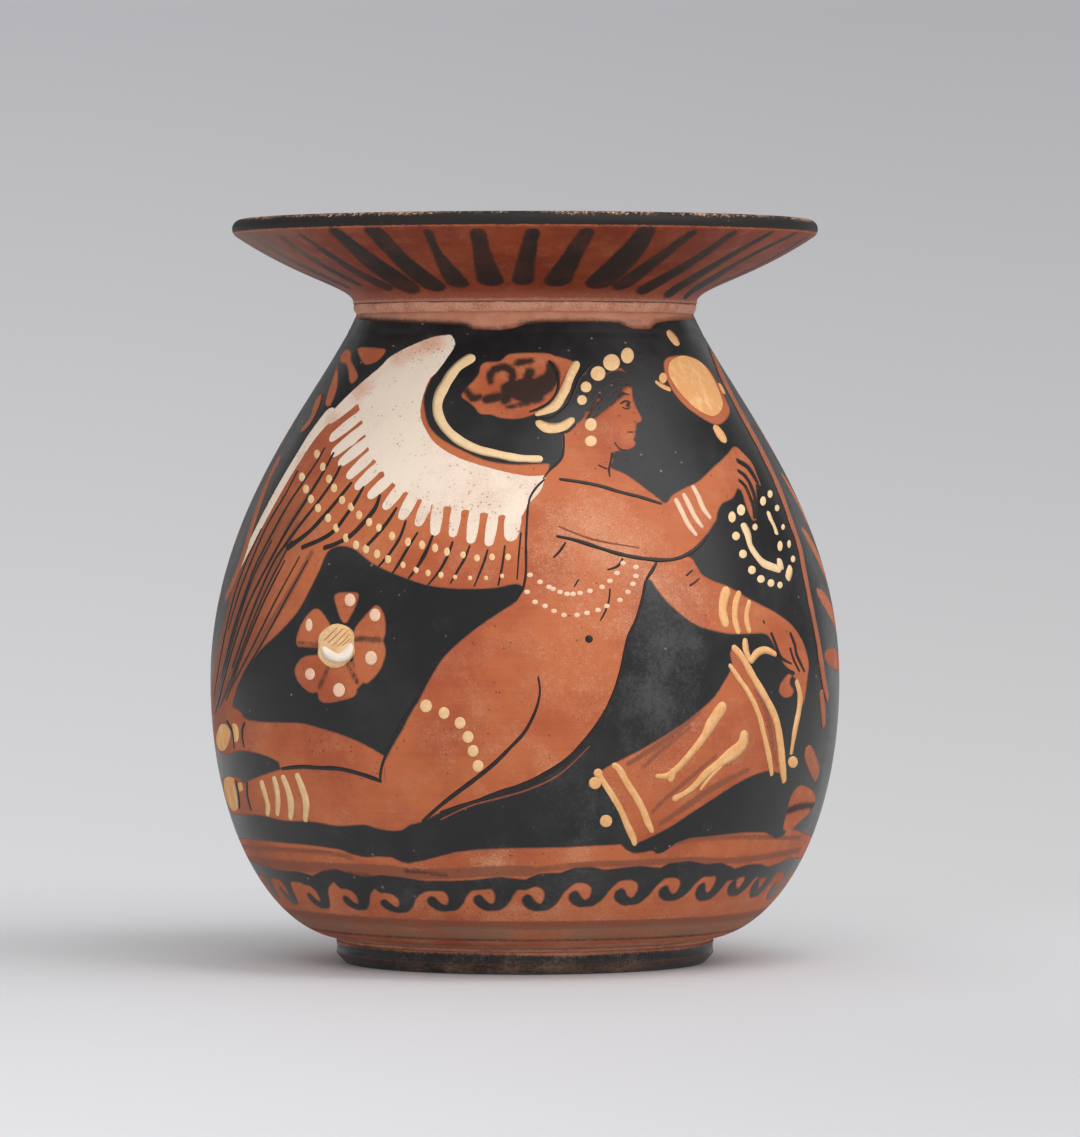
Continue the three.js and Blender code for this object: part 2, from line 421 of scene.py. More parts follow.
class Skin:
    """The outside of a turned piece laid out flat: angle round it, and length up its profile, in mm.
    Each field says how far, in mm, a vertex lies inside a painted area; outside it is negative."""

    def __init__(self, piece, profile):
        mesh = piece.data
        places = np.zeros(len(mesh.vertices) * 3)
        mesh.vertices.foreach_get("co", places)
        places = places.reshape(-1, 3)
        self.piece = piece
        self.places = places
        self.profile = profile
        self.along = travelled(profile)
        self.angle = np.arctan2(places[:, 0], AXIS_Y - places[:, 1])
        self.radius = np.hypot(places[:, 0], places[:, 1] - AXIS_Y) / MM
        self.height = places[:, 2] / MM
        self.outer = np.ones(len(places), bool)
        self.length = self.length_at(self.radius, self.height)
        near = [np.interp(self.length, self.along, profile[:, i]) for i in (0, 1)]
        self.outer = np.hypot(near[0] - self.radius, near[1] - self.height) < OUTSIDE_LIMIT
        self.fields = {}
        faces = [tuple(face.vertices) for face in mesh.polygons]
        self.tree = BVHTree.FromPolygons(places.tolist(), faces)

    def length_at(self, radius, height):
        """Length up the profile of the place nearest to a radius and height."""
        radius, height = np.atleast_1d(radius), np.atleast_1d(height)
        best = np.full(radius.shape, 1e9)
        found = np.zeros(radius.shape)
        for i in range(len(self.profile) - 1):
            start, step = self.profile[i], self.profile[i + 1] - self.profile[i]
            share = ((radius - start[0]) * step[0] + (height - start[1]) * step[1]) / (step @ step)
            share = np.clip(share, 0, 1)
            gap = np.hypot(start[0] + share * step[0] - radius, start[1] + share * step[1] - height)
            closer = gap < best
            best = np.where(closer, gap, best)
            found = np.where(closer, self.along[i] + share * (self.along[i + 1] - self.along[i]), found)
        return found

    def seen(self, pixels):
        """Angle and length where lines of sight through places in the photograph meet this piece."""
        flat = []
        for across, down in pixels:
            for _ in range(AIM_TRIES):
                ray = sight_line(across, down)
                hit, _, _, _ = self.tree.ray_cast(eye.location, ray)
                if hit:
                    break
                across += (AXIS_PIXEL - across) * AIM_STEP
            if not hit:
                hit = self.tree.find_nearest(eye.location + ray * eye_distance)[0]
            radius = math.hypot(hit.x, hit.y - AXIS_Y) / MM
            flat.append((math.atan2(hit.x, AXIS_Y - hit.y), radius, hit.z / MM))
        flat = np.array(flat)
        return np.stack([flat[:, 0], self.length_at(flat[:, 1], flat[:, 2])], 1)

    def gaps(self, line, closed=False, widths=None):
        """Vertices near a line, and how far they lie inside the area or the stroke that it bounds."""
        line = np.asarray(line, float)
        middle = (line[:, 0].min() + line[:, 0].max()) / 2
        angle = (self.angle - middle + math.pi) % (2 * math.pi) - math.pi
        line = line - [middle, 0]
        room = REACH + (max(widths) if widths is not None else 0)
        half_turn = np.abs(line[:, 0]).max() + room / np.maximum(self.radius, LEAST_RADIUS)
        near = self.outer & (np.abs(angle) < half_turn)
        near &= (self.length > line[:, 1].min() - room) & (self.length < line[:, 1].max() + room)
        index = np.nonzero(near)[0]
        angle, length, radius = angle[index], self.length[index], self.radius[index]
        best = np.full(len(index), 1e9)
        inside = np.zeros(len(index), bool)
        ends = np.roll(line, -1, 0) if closed else line[1:]
        for i, (start, end) in enumerate(zip(line, ends)):
            from_x, from_y = (start[0] - angle) * radius, start[1] - length
            step_x, step_y = (end[0] - start[0]) * radius, end[1] - start[1]
            share = -(from_x * step_x + from_y * step_y) / (step_x**2 + step_y**2 + 1e-9)
            share = np.clip(share, 0, 1)
            gap = np.hypot(from_x + share * step_x, from_y + share * step_y)
            if widths is not None:
                gap -= (widths[i] + (widths[i + 1] - widths[i]) * share) / 2
            best = np.minimum(best, gap)
            if closed and start[1] != end[1]:
                crossing = (length > start[1]) != (length > end[1])
                edge = start[0] + (end[0] - start[0]) * (length - start[1]) / (end[1] - start[1])
                inside ^= crossing & (angle < edge)
        return index, (np.where(inside, best, -best) if closed else -best)

    def field(self, name, start=-REACH):
        if name not in self.fields:
            self.fields[name] = np.full(len(self.angle), float(start))
        return self.fields[name]

    def add(self, name, found):
        index, inside = found
        field = self.field(name)
        field[index] = np.maximum(field[index], np.clip(inside, -REACH, REACH))

    def cut(self, name, found):
        index, inside = found
        field = self.field(name)
        field[index] = np.minimum(field[index], np.clip(-inside, -REACH, REACH))

    def keep(self):
        """Writes the fields to the mesh, for the materials to read."""
        for name, values in self.fields.items():
            layer = self.piece.data.attributes.new(name, "FLOAT", "POINT")
            layer.data.foreach_set("value", values.astype(np.float32))


def wheel_marks(angle, length):
    """How far, in mm, the turned surface stands out: uneven throwing, finger rings, and the groove."""
    push = np.zeros(len(angle))
    for lobes, size, climb, shift in WHEEL_LOBES:
        push += size * np.sin(lobes * angle + climb * length + shift)
    for where, wide, deep in ring_places:
        push += deep * np.exp(-(((length - where) / wide) ** 2))
    return push - GROOVE_DEPTH * np.exp(-(((length - groove_length) / GROOVE_WIDTH) ** 2))


base_point = (FOOT_JOINT_RADIUS, FOOT_JOINT_HEIGHT)
belly_point = (BELLY_RADIUS, BELLY_HEIGHT)
neck_point = (NECK_RADIUS, NECK_TOP)
base_pull, base_slope = BASE_PULL
neck_pull, neck_slope = NECK_PULL
base_lead = np.add(base_point, (base_pull * math.cos(base_slope), base_pull * math.sin(base_slope)))
neck_lead = np.add(neck_point, (neck_pull * math.sin(neck_slope), -neck_pull * math.cos(neck_slope)))
lower_curve = cubic(base_point, base_lead, (BELLY_RADIUS, BELLY_HEIGHT - LOWER_PULL), belly_point)
upper_curve = cubic(belly_point, (BELLY_RADIUS, BELLY_HEIGHT + SHOULDER_PULL), neck_lead, neck_point)
body_curve = np.concatenate([lower_curve, upper_curve[1:]])
body_outer = spaced(body_curve, BODY_ROW)
body_inner = spaced(moved_in(body_curve, WALL), INNER_ROW)
body_inner[0, 1] = FOOT_JOINT_HEIGHT + WALL
body_inner[-1] = (NECK_RADIUS - WALL, NECK_TOP)
body_profile = [(0, FOOT_JOINT_HEIGHT), (FOOT_JOINT_RADIUS * 0.5, FOOT_JOINT_HEIGHT), *body_outer]
body_profile += [*body_inner[::-1], (body_inner[0, 0] * 0.5, body_inner[0, 1]), (0, body_inner[0, 1])]
body = turned("body", body_profile, BODY_COLUMNS, bunching=BODY_BUNCHING)
body_skin = Skin(body, body_outer)

whole = float(body_skin.along[-1])
groove_length = float(np.interp(GROOVE_HEIGHT, body_outer[:, 1], body_skin.along))
rings = random.Random(WHEEL_SEED)
ring_places = [
    (rings.uniform(0, whole), rings.uniform(*WHEEL_RING_WIDTHS), rings.uniform(*WHEEL_RING_DEPTHS))
    for _ in range(WHEEL_RINGS)
]
raised = wheel_marks(body_skin.angle, body_skin.length) * MM * body_skin.outer
raised *= (body_skin.length > SMOOTH_ENDS) & (body_skin.length < whole - SMOOTH_ENDS)
pushed = body_skin.places.copy()
pushed[:, 0] += raised * np.sin(body_skin.angle)
pushed[:, 1] -= raised * np.cos(body_skin.angle)
body.data.vertices.foreach_set("co", pushed.ravel())

# Ground band and running wave. The painter left a ring of bare clay under the picture, ran a row
# of black hooks round below it, so that clay waves stand between them, and pulled thin washes round.
# A ring of painted sheen lies among them low down.
GROUND_TOP = 27.6
GROUND_LOW = 22.6
CREST_HEIGHT = 20.3
GROUND_TOP_EDGE = [
    (246, 838), (270, 841), (301, 844), (320, 846), (340, 849), (352, 854), (366, 857), (380, 856),
    (392, 857), (400, 861), (408, 863), (425, 860), (440, 856), (455, 852), (480, 849), (511, 848),
    (562, 847), (600, 845), (621, 844), (627, 850), (634, 853), (645, 852), (652, 850), (657, 854),
    (664, 852), (676, 843), (690, 838), (720, 835), (745, 832), (765, 832), (776, 839), (783, 836),
    (789, 828),
]
WAVE_TOP_EDGE = [
    (252, 862), (270, 868), (284, 871), (300, 872), (313, 876), (322, 871), (335, 869), (352, 874),
    (365, 877), (381, 875), (400, 877), (425, 881), (452, 881), (475, 880), (500, 877), (515, 879),
    (525, 880), (538, 874), (560, 873), (575, 868), (590, 867), (605, 870), (621, 868), (640, 866),
    (660, 868), (670, 863), (690, 861), (705, 864), (722, 863), (735, 869), (747, 865), (760, 864),
    (768, 867), (780, 863), (789, 858),
]
HOOK_OUTLINE = [
    (36, -24), (29, -20), (24, -15.5), (20, -10), (17, -4), (13, 1), (8, 5), (1, 6), (-6, 6), (-12, 3),
    (-16, -1), (-17, -6), (-15, -9), (-12, -10.5), (-9, -9.5), (-6, -5), (-3, -2), (0, -0.8), (2.5, -3),
    (4, -8), (3.5, -13), (0, -17), (-6, -19), (-14, -20), (-14, -32), (36, -32),
]
# Middle of each hook that the photograph shows, and how wide and how deep it is beside the usual one
FRONT_HOOKS = [
    (291, 898, 0.85, 1.10), (321, 903, 0.95, 0.95), (358, 905, 0.95, 0.85), (398, 908, 1.05, 0.80),
    (446, 906, 1.05, 0.90), (492, 905, 1.00, 0.95), (540, 905, 1.00, 1.00), (586, 901, 1.00, 0.95),
    (631, 899, 1.05, 1.00), (673, 895, 1.00, 0.90), (707, 894, 0.95, 1.10), (737, 890, 0.95, 0.95),
    (758, 890, 1.00, 1.15),
]
HOOK_COUNT = 34
HOOK_CENTRE_HEIGHT = 16.9
HOOK_PITCH_PIXELS = 47
LOW_RINGS = [
    # field, and the pixel rows in the middle of the photograph between which a ring of it runs
    ("wash", 921, 929.5),
    # a ring of painted sheen: pale greyish tan on the lower curve, a painted reflection
    ("haze", 927, 940.5),
    ("thin", 939.6, 941.2),
    ("wash", 946, 951),
]
GROUND_WASHES = [
    # places along a thin brown wash in the ground band, and its width in photo pixels
    ([(236, 846), (260, 848), (290, 850), (330, 853), (352, 858)], 5),
    ([(246, 860), (280, 865), (330, 868), (381, 870), (420, 874), (460, 873), (500, 871), (530, 871)], 12),
    ([(530, 871), (580, 865), (640, 863), (690, 860), (715, 861), (740, 860), (770, 856), (800, 850)], 7),
    ([(672, 845), (690, 840), (720, 838), (750, 837), (800, 838)], 5),
]
GROUND_THIN = [([(406, 871), (424, 873), (446, 875)], 3.6), ([(330, 872), (372, 876)], 3)]
BAND_SEED = 5
HOOK_TURN_VARIES = 0.01
HOOK_HEIGHT_VARIES = 0.3
HOOK_WIDTHS = (0.92, 1.05)
HOOK_DEPTHS = (0.88, 1.08)
CREST_FOLLOWS = 0.8
BACK_STARTS = 1.2
BACK_BLENDS = 0.4
FRONT_MARGIN = 0.5
BACK_WAVES = [(5, 0.35, 0), (13, 0.25, 1)]
RING_WAVES = [(2, 0.2), (5, 0.1)]
SAME_PLACE = 1e-6
HOOK_GAP = 2.0
CLIMB_OVER = 2.0


def waver(angle, waves):
    """A hand's unevenness round the jug, in mm: a sum of waves of (lobes, size, shift)."""
    return sum(size * np.sin(lobes * angle + shift) for lobes, size, shift in waves)


def height_to_length(skin, height):
    return skin.length_at(np.interp(height, skin.profile[:, 1], skin.profile[:, 0]), height)[0]


def ring_edge(skin, pixels, height):
    """Length up the profile at each vertex: through the given places in front, level at the back."""
    level = height_to_length(skin, height)
    flat = skin.seen(pixels)
    rest = [-math.pi, flat[0, 0] - FRONT_MARGIN, flat[-1, 0] + FRONT_MARGIN, math.pi]
    angles = np.concatenate([rest[:2], flat[:, 0], rest[2:]])
    lengths = np.concatenate([[level, level], flat[:, 1], [level, level]])
    away = np.clip((np.abs(skin.angle) - BACK_STARTS) / BACK_BLENDS, 0, 1)
    return np.interp(skin.angle, angles, lengths) + waver(skin.angle, BACK_WAVES) * away


def between(skin, low, high):
    """All vertices, and how far they lie between two edges."""
    index = np.nonzero(skin.outer)[0]
    inside = np.minimum(skin.length - low, high - skin.length)
    return index, inside[index]


def softened(points, closed=False, gap=3.0):
    """A smooth line through given places; a place given twice stays a corner."""
    points = np.asarray(points, float)
    count = len(points)
    made = []
    for i in range(count if closed else count - 1):
        if closed:
            before, start, end, after = (points[(i + j) % count] for j in (-1, 0, 1, 2))
        else:
            before, start, end, after = (points[min(max(i + j, 0), count - 1)] for j in (-1, 0, 1, 2))
        chord = np.linalg.norm((end - start)[:2])
        if chord < SAME_PLACE:
            continue
        lead, tail = (end - before) / 2, (after - start) / 2
        if np.linalg.norm((start - before)[:2]) < SAME_PLACE:
            lead = (end - start) / 2
        if np.linalg.norm((after - end)[:2]) < SAME_PLACE:
            tail = (end - start) / 2
        parts = max(1, round(chord / gap))
        for t in np.arange(parts) / parts:
            cube, square = t**3, t**2
            place = (2 * cube - 3 * square + 1) * start + (cube - 2 * square + t) * lead
            made.append(place + (3 * square - 2 * cube) * end + (cube - square) * tail)
    if not closed:
        made.append(points[-1])
    return np.array(made)


ground_top = ring_edge(body_skin, GROUND_TOP_EDGE, GROUND_TOP)
wave_top = ring_edge(body_skin, WAVE_TOP_EDGE, GROUND_LOW)
body_skin.add("clay", between(body_skin, -REACH, ground_top))
crest_length = height_to_length(body_skin, CREST_HEIGHT)
crest = crest_length + (wave_top - height_to_length(body_skin, GROUND_LOW)) * CREST_FOLLOWS
body_skin.cut("clay", between(body_skin, crest, wave_top))
PIXEL = eye_distance / lens_length * sensor_long_side / PHOTO_HEIGHT / MM
centre_length = height_to_length(body_skin, HOOK_CENTRE_HEIGHT)
height_above = np.interp(centre_length + CLIMB_OVER, body_skin.along, body_outer[:, 1])
climb_at_hooks = (height_above - HOOK_CENTRE_HEIGHT) / CLIMB_OVER
hook_random = random.Random(BAND_SEED)
hooks = [(*body_skin.seen([(across, down)])[0], wide, deep) for across, down, wide, deep in FRONT_HOOKS]
hook_step = 2 * math.pi / HOOK_COUNT
back_room = 2 * math.pi - (hooks[-1][0] - hooks[0][0])
back_count = round(back_room / hook_step) - 1
back_start = hooks[-1][0]
for i in range(back_count):
    turn = back_start + back_room * (i + 1) / (back_count + 1)
    turn += hook_random.uniform(-HOOK_TURN_VARIES, HOOK_TURN_VARIES)
    length = centre_length + hook_random.uniform(-HOOK_HEIGHT_VARIES, HOOK_HEIGHT_VARIES)
    hooks.append((turn, length, hook_random.uniform(*HOOK_WIDTHS), hook_random.uniform(*HOOK_DEPTHS)))
for turn, length, wide, deep in hooks:
    outline = softened(HOOK_OUTLINE, closed=True, gap=HOOK_GAP)
    across = outline[:, 0] * wide * hook_step / HOOK_PITCH_PIXELS
    up = -outline[:, 1] * deep * PIXEL / climb_at_hooks
    index, inside = body_skin.gaps(np.stack([turn + across, length + up], 1), closed=True)
    body_skin.cut("clay", (index, np.minimum(inside, (wave_top - body_skin.length)[index])))
for name, top_row, low_row in LOW_RINGS:
    high, low = body_skin.seen([(AXIS_PIXEL, top_row), (AXIS_PIXEL, low_row)])[:, 1]
    uneven = waver(body_skin.angle, [(*RING_WAVES[0], top_row), (*RING_WAVES[1], 0)])
    body_skin.add(name, between(body_skin, low + uneven, high + uneven))
for name, washes in (("wash", GROUND_WASHES), ("thin", GROUND_THIN)):
    for places, wide in washes:
        line = body_skin.seen(softened(places))
        body_skin.add(name, body_skin.gaps(line, widths=[wide * PIXEL] * len(line)))

# Wing. Bare clay inside a painted outline, a broad band of added white with a fringe of white tips
# laid over it, long black feather lines drawn with a fine brush, and two rows of white dots.
WING_OUTLINE = [
    (449, 334), (449, 334), (430, 338), (408, 347), (390, 357), (380, 367), (360, 384), (340, 403),
    (320, 424), (300, 454), (280, 487), (260, 524), (243, 557), (234, 582), (228, 605), (221, 632),
    (215, 662), (211, 692), (212, 712), (220, 724), (230, 712), (234, 698), (240, 680), (259, 652),
    (278, 634), (299, 610), (318, 574), (330, 550), (351, 548), (373, 564), (402, 577), (431, 586),
    (463, 589), (495, 588), (516, 584), (530, 587), (536, 560), (545, 500), (550, 463), (550, 463),
    (530, 464), (510, 464), (490, 461), (475, 456), (460, 449), (445, 441), (434, 432), (427, 420),
    (424, 400), (427, 388), (437, 368), (447, 352), (455, 343),
]
WING_WHITE = [
    (446, 335), (430, 338), (408, 347), (390, 357), (380, 367), (360, 384), (340, 403), (326, 419),
    (326, 419), (330, 424), (345, 414), (358, 403), (358, 403), (360, 412), (363, 425), (366, 437),
    (369, 449), (375, 460), (383, 472), (392, 482), (403, 490), (418, 498), (433, 504), (452, 507),
    (467, 510), (486, 513), (503, 515), (522, 516), (522, 516), (529, 504), (541, 490), (546, 475),
    (546, 475), (530, 476), (510, 473), (490, 468), (470, 462), (455, 456), (440, 447), (430, 437),
    (421, 418), (422, 400), (429, 380), (436, 373), (447, 358), (455, 345), (452, 336),
]
WING_RIM = [(327, 417), (312, 436), (298, 458), (284, 481), (268, 510), (254, 537), (244, 557), (237, 573)]
WING_RIM_WIDTHS = [10, 8, 7, 6.5, 6, 5, 4, 2]
WHITE_TIPS = [
    # root and end of each white feather tip, and its width
    ((362, 414), (334, 436), 9.5), ((366, 427), (336, 451), 10.5), ((369, 440), (343, 461), 10.5),
    ((374, 452), (351, 474), 10.5), ((381, 464), (359, 485), 10.5), ((391, 477), (372, 494), 11),
    ((402, 486), (387, 505), 11), ((414, 494), (403, 515), 12), ((427, 501), (419, 522), 11),
    ((438, 504), (435, 531), 12), ((457, 505), (453, 533), 11), ((475, 509), (471, 539), 12),
    ((494, 511), (489, 542), 11.5), ((514, 512), (511, 535), 17),
]
FEATHER_LINES = [
    ([(298, 470), (285, 495), (270, 520), (258, 545), (240, 590), (228, 630)], 1.8),
    ([(325, 447), (316, 463), (300, 487), (285, 510), (258, 560), (248, 585), (233, 630), (221, 678)], 1.9),
    ([(334, 452), (322, 474), (308, 497), (292, 522), (277, 548), (250, 600), (232, 650), (217, 705)],
     [2.4, 2.8, 2.8, 2.8, 2.6, 2, 2, 1.6]),
    ([(341, 465), (332, 482), (318, 502), (303, 521), (288, 541), (272, 565), (252, 612), (232, 668)],
     [2.4, 2.8, 2.8, 2.8, 2.6, 2, 2, 1.6]),
    ([(352, 482), (340, 497), (325, 515), (308, 533), (286, 549)], [2.6, 3.2, 3.6, 4, 5]),
    ([(364, 486), (355, 502), (345, 517), (335, 530), (322, 539), (301, 548)], [2.6, 3.4, 3.6, 3.8, 4, 5]),
    ([(380, 494), (375, 508), (363, 523), (350, 536), (335, 544), (323, 548)], [2.8, 4.2, 4.4, 4.4, 4.4, 5]),
    ([(397, 507), (389, 520), (378, 534), (366, 547)], [2.6, 3.6, 3.8, 3]),
    ([(406, 520), (400, 537), (390, 553), (378, 567)], [2.4, 3.4, 3.2, 2.4]),
    ([(418, 532), (408, 548), (398, 565), (392, 574)], [2.4, 3, 2.8, 2.2]),
    ([(433, 535), (426, 552), (416, 569), (408, 579)], [2.6, 4, 3.6, 2.4]),
    ([(453, 541), (448, 555), (440, 570), (428, 585)], 2.8),
    ([(470, 545), (465, 558), (457, 572), (450, 584)], 2.6),
    ([(488, 549), (484, 562), (474, 587)], 2.6),
    ([(505, 545), (502, 567), (498, 586)], 2.6),
    ([(521, 532), (519, 552), (517, 580)], 2.2),
    ([(285, 560), (262, 606), (242, 655), (226, 700)], 1.9),
    ([(300, 556), (276, 600), (252, 648), (230, 690)], 1.7),
    ([(272, 540), (254, 575), (240, 615), (226, 664), (215, 712)], 1.7),
    ([(308, 560), (288, 596), (264, 640), (242, 676)], 1.6),
    ([(262, 528), (246, 562), (233, 600), (222, 648), (214, 694)], 1.5),
    ([(292, 540), (268, 586), (250, 628), (232, 676), (220, 706)], 1.6),
]
FEATHER_SHADES = [
    # soft brown shadows between the long feathers
    ([(284, 512), (260, 562), (240, 610), (226, 660), (216, 705)], [4, 6, 6, 6, 4]),
    ([(298, 524), (278, 562), (256, 606), (238, 652), (224, 696)], [4, 7, 7, 6, 3]),
    ([(312, 552), (290, 592), (266, 632), (246, 668)], [4, 6, 6, 4]),
    ([(264, 508), (246, 552), (232, 596), (222, 640)], [3, 5, 5, 3]),
    ([(318, 480), (300, 508), (284, 532)], [3, 5, 3]),
]
DOT_ROW_UPPER = [
    (317, 454), (323, 467), (329, 479), (334, 488), (342, 500), (351, 507), (359, 515), (369, 522),
    (379, 528), (392, 536), (408, 542), (422, 545), (435, 548), (447, 552), (463, 555), (477, 558),
    (492, 557), (508, 557),
]
DOT_ROW_LOWER = [
    (302, 477), (306, 489), (311, 499), (318, 508), (328, 518), (336, 528), (346, 538), (356, 545),
    (366, 549), (377, 554), (388, 559), (403, 565), (416, 570), (428, 573), (441, 575), (455, 577),
    (470, 578), (486, 578), (502, 576),
]
WING_ARC = [
    (475, 356), (458, 367), (447, 382), (439, 398), (438, 412), (445, 427), (459, 440), (477, 449),
    (497, 454), (518, 458), (543, 459),
]
WING_ARC_WIDTHS = [9, 11, 11, 11, 11, 10, 10, 9, 9, 8, 8]
DOT_SIZES = [
    # up to which place across, and half the width and height of the dots in the upper and lower row
    (400, (3.2, 4.6), (3.2, 4.6)), (447, (3.2, 4.6), (2.7, 3.4)), (AXIS_PIXEL, (3.0, 3.6), (2.2, 2.4)),
]
ROUND_DOT = 5.0
ROUND_DOT_SIDES = 24
SMALL_DOT_SIDES = 14
DOT_RINGS = 8
TIP_SHARES = (0.85, 1.0, 0.8)
LINE_ENDS = (0.8, 0.65)
LINE_GAPS = (1.2, 2.5)
END_THINNEST = 0.02
UNEVEN_BRUSH = 0.2
UNEVEN_EVERY = 0.07
UNEVEN_APART = 3.3
LINE_PARTS = 5
LINE_STANDS = 0.28
LINE_LIMIT = 0.10
DOT_STANDS = 0.14
SLIP_SPECULAR = 0.4
PAINT_FINE_GRAIN = (1400, 3, 0.65)
PAINT_BROAD_GRAIN = (300, 3, 0.6)
PAINT_FADE = (0.42, 0.62)
PAINT_SPECKLE = 0.5
PAINT_RELIEF = 0.0001
OUTER_SLOPE = np.arctan2(np.gradient(body_outer[:, 0]), np.gradient(body_outer[:, 1]))


def reserve(outline, name="clay"):
    """Leaves an area bare (or paints it, in another field)."""
    body_skin.add(name, body_skin.gaps(body_skin.seen(softened(outline, closed=True)), closed=True))


def spread_widths(skin, line):
    """Places on a skin, and widths in mm, for a stroke of (across, down, width) in photo pixels."""
    along = np.gradient(line[:, :2], axis=0)
    sideways = np.stack([-along[:, 1], along[:, 0]], 1) / (np.linalg.norm(along, axis=1)[:, None] + 1e-9)
    inward = np.where(sideways[:, 0] * (AXIS_PIXEL - line[:, 0]) < 0, -1, 1)
    edge = line[:, :2] + sideways * inward[:, None] * line[:, 2:3] / 2
    here, there = skin.seen(line[:, :2]), skin.seen(edge)
    radius = np.interp(here[:, 1], skin.along, skin.profile[:, 0])
    return here, 2 * np.hypot((there[:, 0] - here[:, 0]) * radius, there[:, 1] - here[:, 1])


def brushed(places, widths, shift=0.0):
    """A brush stroke in one of the body's fields; widths in photo pixels, one or one for each place."""
    widths = widths if isinstance(widths, (list, tuple)) else [widths] * len(places)
    line = softened([(*place, wide) for place, wide in zip(places, widths)])
    here, spread = spread_widths(body_skin, line)
    index, inside = body_skin.gaps(here, widths=spread)
    return index, inside + shift


def body_places(flat):
    """Places on the body, in mm from its axis, and directions square to it, for angles and lengths."""
    angle, length = np.atleast_2d(flat).T
    radius = np.interp(length, body_skin.along, body_outer[:, 0]) + wheel_marks(angle, length)
    height = np.interp(length, body_skin.along, body_outer[:, 1])
    slope = np.interp(length, body_skin.along, OUTER_SLOPE)
    around = np.stack([np.sin(angle), -np.cos(angle)], 1)
    places = np.concatenate([around * radius[:, None], height[:, None]], 1)
    outs = np.concatenate([around * np.cos(slope)[:, None], -np.sin(slope)[:, None]], 1)
    return places, outs


def in_metres(places):
    return np.asarray(places) * MM + [0, AXIS_Y, 0]


def tube(name, paths, sides=5):
    """Round tubes along lines of (place, radius) in metres, as one mesh object."""
    rope = bpy.data.curves.new(name + "_line", "CURVE")
    rope.dimensions = "3D"
    rope.bevel_depth = 1.0
    rope.bevel_resolution = sides
    rope.use_fill_caps = True
    rope.twist_mode = "MINIMUM"
    for path in paths:
        spline = rope.splines.new("POLY")
        spline.points.add(len(path) - 1)
        for point, (where, radius) in zip(spline.points, path):
            point.co = (*where, 1)
            point.radius = radius
    holder = add_object(name + "_line", rope)
    bpy.context.view_layer.update()
    mesh = bpy.data.meshes.new_from_object(holder.evaluated_get(bpy.context.evaluated_depsgraph_get()))
    bpy.data.objects.remove(holder)
    shell = bmesh.new()
    shell.from_mesh(mesh)
    bpy.data.meshes.remove(mesh)
    bmesh.ops.remove_doubles(shell, verts=shell.verts, dist=1e-7)
    return finished(name, shell)


def drawn(strokes):
    """Strokes given in photo pixels as lines on the body: places, and widths in mm, with round ends."""
    lines = []
    for number, (places, widths) in enumerate(strokes):
        if not isinstance(widths, (list, tuple)):
            widths = [widths * LINE_ENDS[0]] + [widths] * (len(places) - 2) + [widths * LINE_ENDS[1]]
        line = [(*place, wide) for place, wide in zip(places, widths)]
        line = softened(line, gap=min(max(max(widths) / LINE_PARTS, LINE_GAPS[0]), LINE_GAPS[1]))
        flat, wide = spread_widths(body_skin, line)
        walked = travelled(line[:, :2])
        from_end = np.minimum(walked, walked[-1] - walked) / (line[:, 2] / 2)
        wide *= np.sqrt(np.clip(1 - (1 - np.minimum(from_end, 1)) ** 2, END_THINNEST, 1))
        places_in_noise = [Vector((way * UNEVEN_EVERY, number * UNEVEN_APART, 0)) for way in walked]
        wide *= [1 + UNEVEN_BRUSH * noise.noise(place) for place in places_in_noise]
        lines.append((flat, wide))
    return lines


def laid(name, lines, dots, finish, stands=LINE_STANDS, lift=0.0):
    """Slip laid on the body in low relief, as one piece: lines of a loaded brush, and dots."""
    paths = [list(zip(in_metres(body_places(flat)[0]), wide * MM / 2)) for flat, wide in lines]
    shell = bmesh.new()
    if paths:
        piece = tube(name + "_strokes", paths, sides=1)
        places = np.array([vert.co for vert in piece.data.vertices])
        places = (places - [0, AXIS_Y, 0]) / MM
        radius = np.hypot(places[:, 0], places[:, 1])
        angle = np.arctan2(places[:, 0], -places[:, 1])
        under, outs = body_places(np.stack([angle, body_skin.length_at(radius, places[:, 2])], 1))
        height = ((places - under) * outs).sum(1)
        height = lift + LINE_LIMIT * np.tanh(height * stands / LINE_LIMIT)
        for vert, place in zip(piece.data.vertices, in_metres(under + outs * height[:, None])):
            vert.co = place
        shell.from_mesh(piece.data)
        bpy.data.objects.remove(piece)
    for across, down, wide, tall in dots:
        side = 1 if across < AXIS_PIXEL else -1
        flat = body_skin.seen([(across, down), (across + side * wide, down), (across, down - tall)])
        places, outs = body_places(flat)
        here, right, above = (Vector(place) for place in in_metres(places))
        columns = ((right - here) * side, above - here, Vector(outs[0]) * DOT_STANDS * MM)
        lie = Matrix([(*row, 0) for row in zip(*columns)] + [(0, 0, 0, 1)])
        lie.translation = here
        sides = ROUND_DOT_SIDES if wide > ROUND_DOT else SMALL_DOT_SIDES
        bmesh.ops.create_uvsphere(shell, u_segments=sides, v_segments=DOT_RINGS, radius=1.0, matrix=lie)
    made = finished(name, shell)
    made.data.materials.append(finish)
    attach(made, "root")


def paint_finish(name, color, other, rough, speckle=PAINT_SPECKLE, high=PAINT_RELIEF):
    """A slip of one colour, a little uneven where the brush let go."""
    finish = Finish(name, Specular_IOR_Level=SLIP_SPECULAR)
    place = finish.object_place()
    fine = finish.cloud(place, *PAINT_FINE_GRAIN)
    broad = finish.cloud(place, *PAINT_BROAD_GRAIN)
    share = finish.ramp(fine * 0.5 + broad * 0.5, *PAINT_FADE) * speckle
    finish.feed("Base Color", finish.mixed(share, color, other))
    finish.feed("Roughness", rough + (fine - 0.5) * 0.2)
    finish.bumped(fine + broad, high)
    return finish.material


